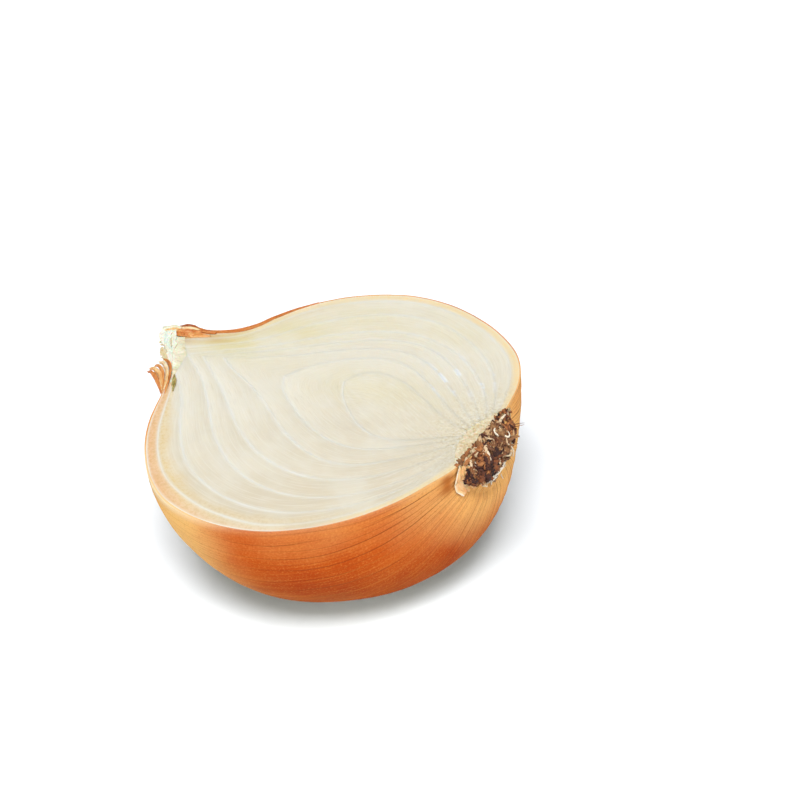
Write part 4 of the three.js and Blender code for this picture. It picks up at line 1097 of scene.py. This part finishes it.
def neck_pieces():
    dry = [(0.0, (98, 48, 18)), (0.2, (158, 80, 28)), (0.42, (204, 116, 48)), (0.62, (234, 164, 92)), (0.8, (248, 208, 146)), (1.0, (254, 238, 204))]
    pale = [(0.0, (120, 116, 48)), (0.12, (176, 160, 92)), (0.3, (218, 198, 140)), (0.5, (234, 226, 192)), (0.8, (250, 244, 220)), (1.0, (255, 252, 238))]
    mdry = tone_material("neck_dry", dry, 0.7, (0.42, 0.7), 0.00025, 0.1, strands=12.0)
    mpale = tone_material("neck_pale", pale, 0.8, (0.5, 0.75), 0.0002, 0.3, strands=14.0)

    # leaf along the far side: a shrivelled brown fold hugging the edge
    B = Build()
    ribbon(B, [(-33.4, 11.9, 0.2), (-35.6, 11.4, 0.35), (-38.2, 10.9, 0.45), (-40.4, 10.2, 0.45), (-42.0, 9.4, 0.3)], [0.6, 1.7, 2.4, 2.4, 1.2], (0.1, 0.9, 0.3), 0.22, 1.5, 0.50, 0.12, seed=1.0, tear=1.0)
    ribbon(B, [(-37.4, 11.7, 0.5), (-38.8, 11.8, 0.6), (-40.6, 11.5, 0.65), (-42.2, 10.7, 0.5)], [0.3, 0.8, 1.0, 0.5], (0.0, 0.7, 0.7), 0.24, 2.2, 0.26, 0.12, seed=4.0, tear=0.6)
    ribbon(B, [(-33.2, 11.7, 0.4), (-35.2, 11.3, 0.6), (-36.8, 11.0, 0.6)], [0.4, 1.1, 0.5], (0.1, 0.9, 0.4), 0.22, 2.2, 0.40, 0.14, n=30, seed=5.0, tear=0.5)
    ribbon(B, [(-34.0, 10.5, 0.2), (-37.0, 9.5, 0.3), (-40.0, 8.5, 0.3)], [0.4, 1.2, 1.0], (0.1, 0.9, 0.2), 0.18, 1.0, 0.62, 0.14, n=36, seed=7.0, tear=0.8)
    ribbon(B, [(-41.2, 10.0, 0.3), (-43.0, 9.4, 0.45), (-44.8, 8.8, 0.3)], [1.0, 1.3, 0.5], (0.1, 0.9, 0.3), 0.2, 1.0, 0.74, 0.10, n=36, seed=8.0, tear=0.6)
    ribbon(B, [(-37.2, 11.2, 0.65), (-39.2, 11.0, 0.8), (-41.4, 10.3, 0.75)], [0.3, 0.6, 0.4], (0.1, 0.9, 0.3), 0.2, 1.2, 0.88, 0.10, n=36, seed=6.0, tear=0.5)
    # painted shade: a brown strip laid beside the fold's edge where its shadow falls, standing in for shade
    ribbon(B, [(-41.9, 8.7, 0.3), (-40.2, 8.6, 0.4), (-38.2, 8.9, 0.25)], [1.2, 1.5, 0.4], (0.1, 0.9, 0.2), 0.2, 1.0, 0.46, 0.10, n=36, seed=10.0, tear=0.8)
    # the dried edge that runs on along the far rim
    ribbon(B, [(-35.2, 11.9, 0.15), (-32.4, 12.9, 0.1), (-29.0, 14.8, 0.1), (-26.1, 18.0, 0.1), (-24.1, 22.0, 0.1), (-21.3, 26.2, 0.1), (-17.8, 30.4, 0.08)], [0.9, 1.0, 1.0, 0.9, 0.8, 0.6, 0.3], (-0.5, 0.9, 0.1), 0.2, 0.8, 0.44, 0.05, n=90, m=8, seed=9.0, tear=0.2)
    # dry strips under the neck, over the end of the skin
    r2 = np.random.default_rng(9)
    for a in np.linspace(0.05, 0.66, 9):
        c, s = math.cos(math.pi * a), math.sin(math.pi * a)
        q0 = np.array([-36.75 - 3.25 * c, 0.6 + 9.2 * c, -7.4 * s])
        q1 = np.array([-39.8 - 5.6 * c, 0.15 + 8.85 * c, -4.4 * s])
        o = np.array([0.0, c, -s])
        g = r2.uniform(0.45, 0.85)
        ribbon(B, [q0 + [4.2, 0, 0] + o * 0.9 - [0, 0, 0.6 * s], q0 + [1.4, 0, 0] + o * 0.5, q0 + o * 0.3, q0 + (q1 - q0) * g * 0.6 + o * 0.35, q0 + (q1 - q0) * g + o * 0.25], [0.6, 2.2, 2.9, 2.6, 1.2], (0.2, s, c), 0.2, 0.7, r2.uniform(0.34, 0.74), 0.06, n=36, m=10, seed=70 + 9 * a, tear=1.3)
    piece("neck_leaf_far", B.mesh("neck_leaf_far", weld=2e-7, sharp=60), mdry, ["neck_leaf_far"])

    # leaf on the near side: striped strips that part and curl outwards
    B = Build()
    up = (0.55, 0.25, 0.8)
    for p, w, tn, se in [
        ([(-31.8, -11.2, -0.3), (-32.7, -9.4, 0.0), (-34.1, -5.8, 0.3), (-35.8, -2.9, 0.6), (-37.7, -1.2, 0.5), (-39.2, -0.5, 0.0)], [0.6, 1.0, 1.1, 1.0, 0.9, 0.4], 0.50, 11.0),
        ([(-33.0, -9.6, -0.2), (-34.5, -6.2, 0.45), (-36.1, -3.9, 0.8), (-37.9, -2.4, 0.7), (-39.4, -1.9, 0.2)], [0.7, 1.2, 1.4, 1.2, 0.5], 0.84, 13.0),
        ([(-33.3, -9.4, -0.3), (-35.0, -6.8, 0.35), (-36.7, -4.7, 0.75), (-38.5, -3.5, 0.6), (-39.6, -3.2, 0.0)], [0.7, 1.0, 1.1, 0.9, 0.4], 0.56, 15.0),
        ([(-33.5, -9.5, -0.5), (-35.3, -7.3, 0.0), (-37.1, -5.5, 0.35), (-39.0, -4.5, 0.3), (-40.2, -4.2, -0.2)], [0.7, 1.2, 1.5, 1.3, 0.5], 0.72, 17.0),
        ([(-33.6, -9.8, -1.0), (-35.6, -8.0, -0.5), (-37.6, -6.4, -0.1), (-39.4, -5.2, -0.1), (-40.4, -4.9, -0.6)], [0.7, 1.1, 1.2, 1.1, 0.5], 0.48, 19.0),
        ([(-33.8, -8.6, -1.6), (-36.0, -6.6, -1.3), (-38.0, -4.9, -1.1), (-39.4, -4.2, -1.4)], [1.4, 2.2, 2.2, 1.0], 0.62, 20.0),
    ]:
        ribbon(B, p, w, up, 0.24, 1.5, tn, 0.12, n=40, m=10, seed=se, tear=0.9)
    piece("neck_leaf_near", B.mesh("neck_leaf_near", weld=2e-7, sharp=60), mdry, ["neck_leaf_near"])

    # dried ends of the fleshy scales: a ribbed stump with a frayed rim
    B = Build()
    n = 120
    inner = spline([(-39.9, 9.7), (-38.7, 7.4), (-37.1, 5.3), (-35.1, 2.9), (-33.7, -3.7), (-32.6, -6.4), (-33.4, -8.5)], n)
    outer = spline([(-45.4, 9.0), (-44.3, 7.0), (-42.2, 4.9), (-40.1, 2.7), (-38.2, 0.6), (-36.8, -2.6), (-35.4, -5.6), (-34.2, -8.7)], n)
    j = np.arange(n + 1)
    fray = 0.8 * fbm(np.stack([j * 0.07, 0 * j, 0 * j], -1), 3, 33, 0.6) + 0.2 * np.abs(vnoise(np.stack([j * 0.6, 0 * j, 0 * j + 5.0], -1), 34)) - 0.5
    wide = np.sin(np.pi * j / n) ** 0.5
    outer[:, 0] -= fray * wide
    outer[:, 1] += 0.3 * fray * wide

    def top(X, Y, u):
        P = np.stack([X * 0.5, Y * 1.6, 0 * X], -1)
        return relief(X, Y) + (0.05 + 0.25 * u) * fbm(P, 3, 35, 0.6) + 0.2 * np.sin(np.pi * u) * vnoise(np.stack([X * 0.15, Y * 0.9, 0 * X + 7], -1), 36)

    def tone(X, Y, u):
        P = np.stack([X * 0.4, Y * 1.4, 0 * X + 9], -1)
        return np.clip(0.52 + 0.12 * fbm(P, 3, 37, 0.6) + 0.34 * u, 0.2, 1)

    cap(B, inner + np.array([0.05, 0]), outer, top, tone, 30, -0.8, depthk=0.77, depthk2=0.50)
    for p, w, sd, cu, tn, se in [
        ([(-43.5, 9.6, 0.3), (-42.7, 7.8, 0.2), (-41.4, 5.8, 0.1), (-39.9, 3.6, -0.02), (-38.7, 1.8, -0.15)], [2.0, 2.8, 2.8, 2.2, 1.0], (0.9, 0.4, 0.1), 0.5, 0.86, 21.0),
        ([(-44.2, 9.6, 0.2), (-43.9, 8.0, 0.2), (-42.9, 6.2, 0.15), (-41.8, 4.6, 0.0)], [1.8, 2.8, 2.6, 1.2], (0.9, 0.5, 0.1), 0.9, 0.98, 23.0),
        ([(-41.6, 10.5, 0.5), (-43.4, 10.1, 0.6), (-45.8, 9.2, 0.4)], [1.0, 1.4, 0.9], (0.1, 0.9, 0.3), 1.6, 0.62, 25.0),
        # painted shade: a thin olive strip between two folds, standing in for the shade between them
        ([(-42.1, 7.2, 0.4), (-41.0, 5.4, 0.42), (-39.9, 3.8, 0.3)], [0.2, 0.6, 0.2], (0.9, 0.4, 0.2), 0.8, 0.50, 27.0),
        ([(-41.9, 3.0, 0.1), (-40.7, 1.6, 0.25), (-39.0, 0.0, 0.2), (-37.6, -1.4, 0.1)], [0.7, 1.3, 1.1, 0.4], (0.8, 0.5, 0.2), 1.3, 0.40, 29.0),
        ([(-39.6, 2.0, 0.0), (-37.9, -0.4, 0.05), (-36.4, -3.0, 0.05), (-35.0, -5.8, 0.0)], [1.4, 2.2, 2.0, 0.8], (0.9, 0.4, 0.1), 0.9, 0.97, 31.0),
        ([(-42.0, 8.4, -2.0), (-44.0, 7.6, -1.8), (-45.4, 6.6, -2.0)], [2.6, 2.6, 1.0], (0.1, 0.8, 0.6), 1.2, 0.5, 33.0),
        ([(-39.8, 4.4, -2.6), (-41.6, 3.8, -2.4), (-43.2, 3.4, -2.6)], [2.8, 2.8, 1.2], (0.0, 1, 0.1), 1.4, 0.55, 35.0),
        ([(-37.4, -0.6, -2.4), (-38.8, -1.2, -2.3), (-40.0, -1.6, -2.4)], [2.6, 2.4, 1.0], (0.0, 1, 0.1), 1.2, 0.6, 37.0),
        ([(-33.5, -4.6, 0.25), (-32.3, -6.4, 0.35), (-31.2, -8.4, 0.3), (-30.6, -9.6, 0.15)], [0.2, 0.9, 0.8, 0.2], (0.8, 0.5, 0.0), 0.6, 0.13, 39.0),
    ]:
        ribbon(B, p, w, sd, 0.2, cu, tn, 0.05, n=30, m=12, seed=se, tear=1.2)
    piece("neck_fibres", B.mesh("neck_fibres", weld=2e-7, sharp=60), mpale, ["neck_fibres"])


neck_pieces()
root_pieces()


# ------------------------------------------------------------------ floor, light, camera
scene = bpy.context.scene
bpy.ops.mesh.primitive_plane_add(size=6.0, location=(0, 0, 0))
floor = bpy.context.object
floor.name = "floor"
nf = Nodes("floor_white")
nf.b.inputs["Base Color"].default_value = (0.92, 0.94, 0.97, 1)
nf.b.inputs["Roughness"].default_value = 0.9
nf.b.inputs["Specular IOR Level"].default_value = 0.0
floor.data.materials.append(nf.m)

world = bpy.data.worlds.new("studio")
world.use_nodes = True
world.node_tree.nodes["Background"].inputs[0].default_value = (1, 1, 1, 1)
world.node_tree.nodes["Background"].inputs[1].default_value = 0.02
scene.world = world


def area(name, loc, target, size, power, color=(1, 1, 1)):
    li = bpy.data.lights.new(name, "AREA")
    li.shape = "RECTANGLE"
    li.size, li.size_y = size
    li.energy = power
    li.color = color
    ob = bpy.data.objects.new(name, li)
    ob.location = loc
    d = Vector(target) - Vector(loc)
    ob.rotation_euler = d.to_track_quat("-Z", "Y").to_euler()
    scene.collection.objects.link(ob)
    return ob


az, el = math.radians(27.4825), math.radians(37.0859)
right = Vector((math.cos(az), math.sin(az), 0.0))
front = Vector((math.sin(az), -math.cos(az), 0.0))


def spot(r, f, z):
    """A place given by its way to the right of the camera, towards it and up."""
    return tuple(right * r + front * f + Vector((0, 0, z)))


area("key", spot(-0.04, 0.43, 0.80), (0, 0, 0.02), (0.38, 0.30), 10.5)
area("left", spot(-0.74, 0.22, 0.15), (0, 0, 0.02), (0.36, 0.18), 1.35)
area("right", spot(0.72, 0.16, 0.15), (0, 0, 0.02), (0.34, 0.18), 1.9)
area("top", spot(0.05, -0.25, 0.75), (0, 0, 0.02), (0.6, 0.4), 0.6)
area("behind", spot(0.0, -0.30, 0.45), spot(0.0, -0.9, 0.0), (0.8, 0.3), 2.6)   # faces away from the onion, keeps the table white

cam_data = bpy.data.cameras.new("camera")
cam_data.sensor_width = 36.0
cam_data.lens = 36.0 * 1680.0 / 800.0
cam_data.clip_start = 0.01
cam = bpy.data.objects.new("camera", cam_data)
scene.collection.objects.link(cam)
PLANE_TO_CAM = np.array([142.50945, -238.61102, 209.01993])
cam_pos = Vector(((PLACE + PLANE_TO_CAM) * 0.001).tolist())
az, el = math.radians(27.4825), math.radians(37.0859)
back = Vector((math.sin(az) * math.cos(el), -math.cos(az) * math.cos(el), math.sin(el)))
right = Vector((math.cos(az), math.sin(az), 0.0))
up = back.cross(right)
rot = Matrix((right, up, back)).transposed()
cam.matrix_world = Matrix.Translation(cam_pos) @ rot.to_4x4()
scene.camera = cam
scene.view_settings.view_transform = "Standard"
scene.view_settings.look = "None"
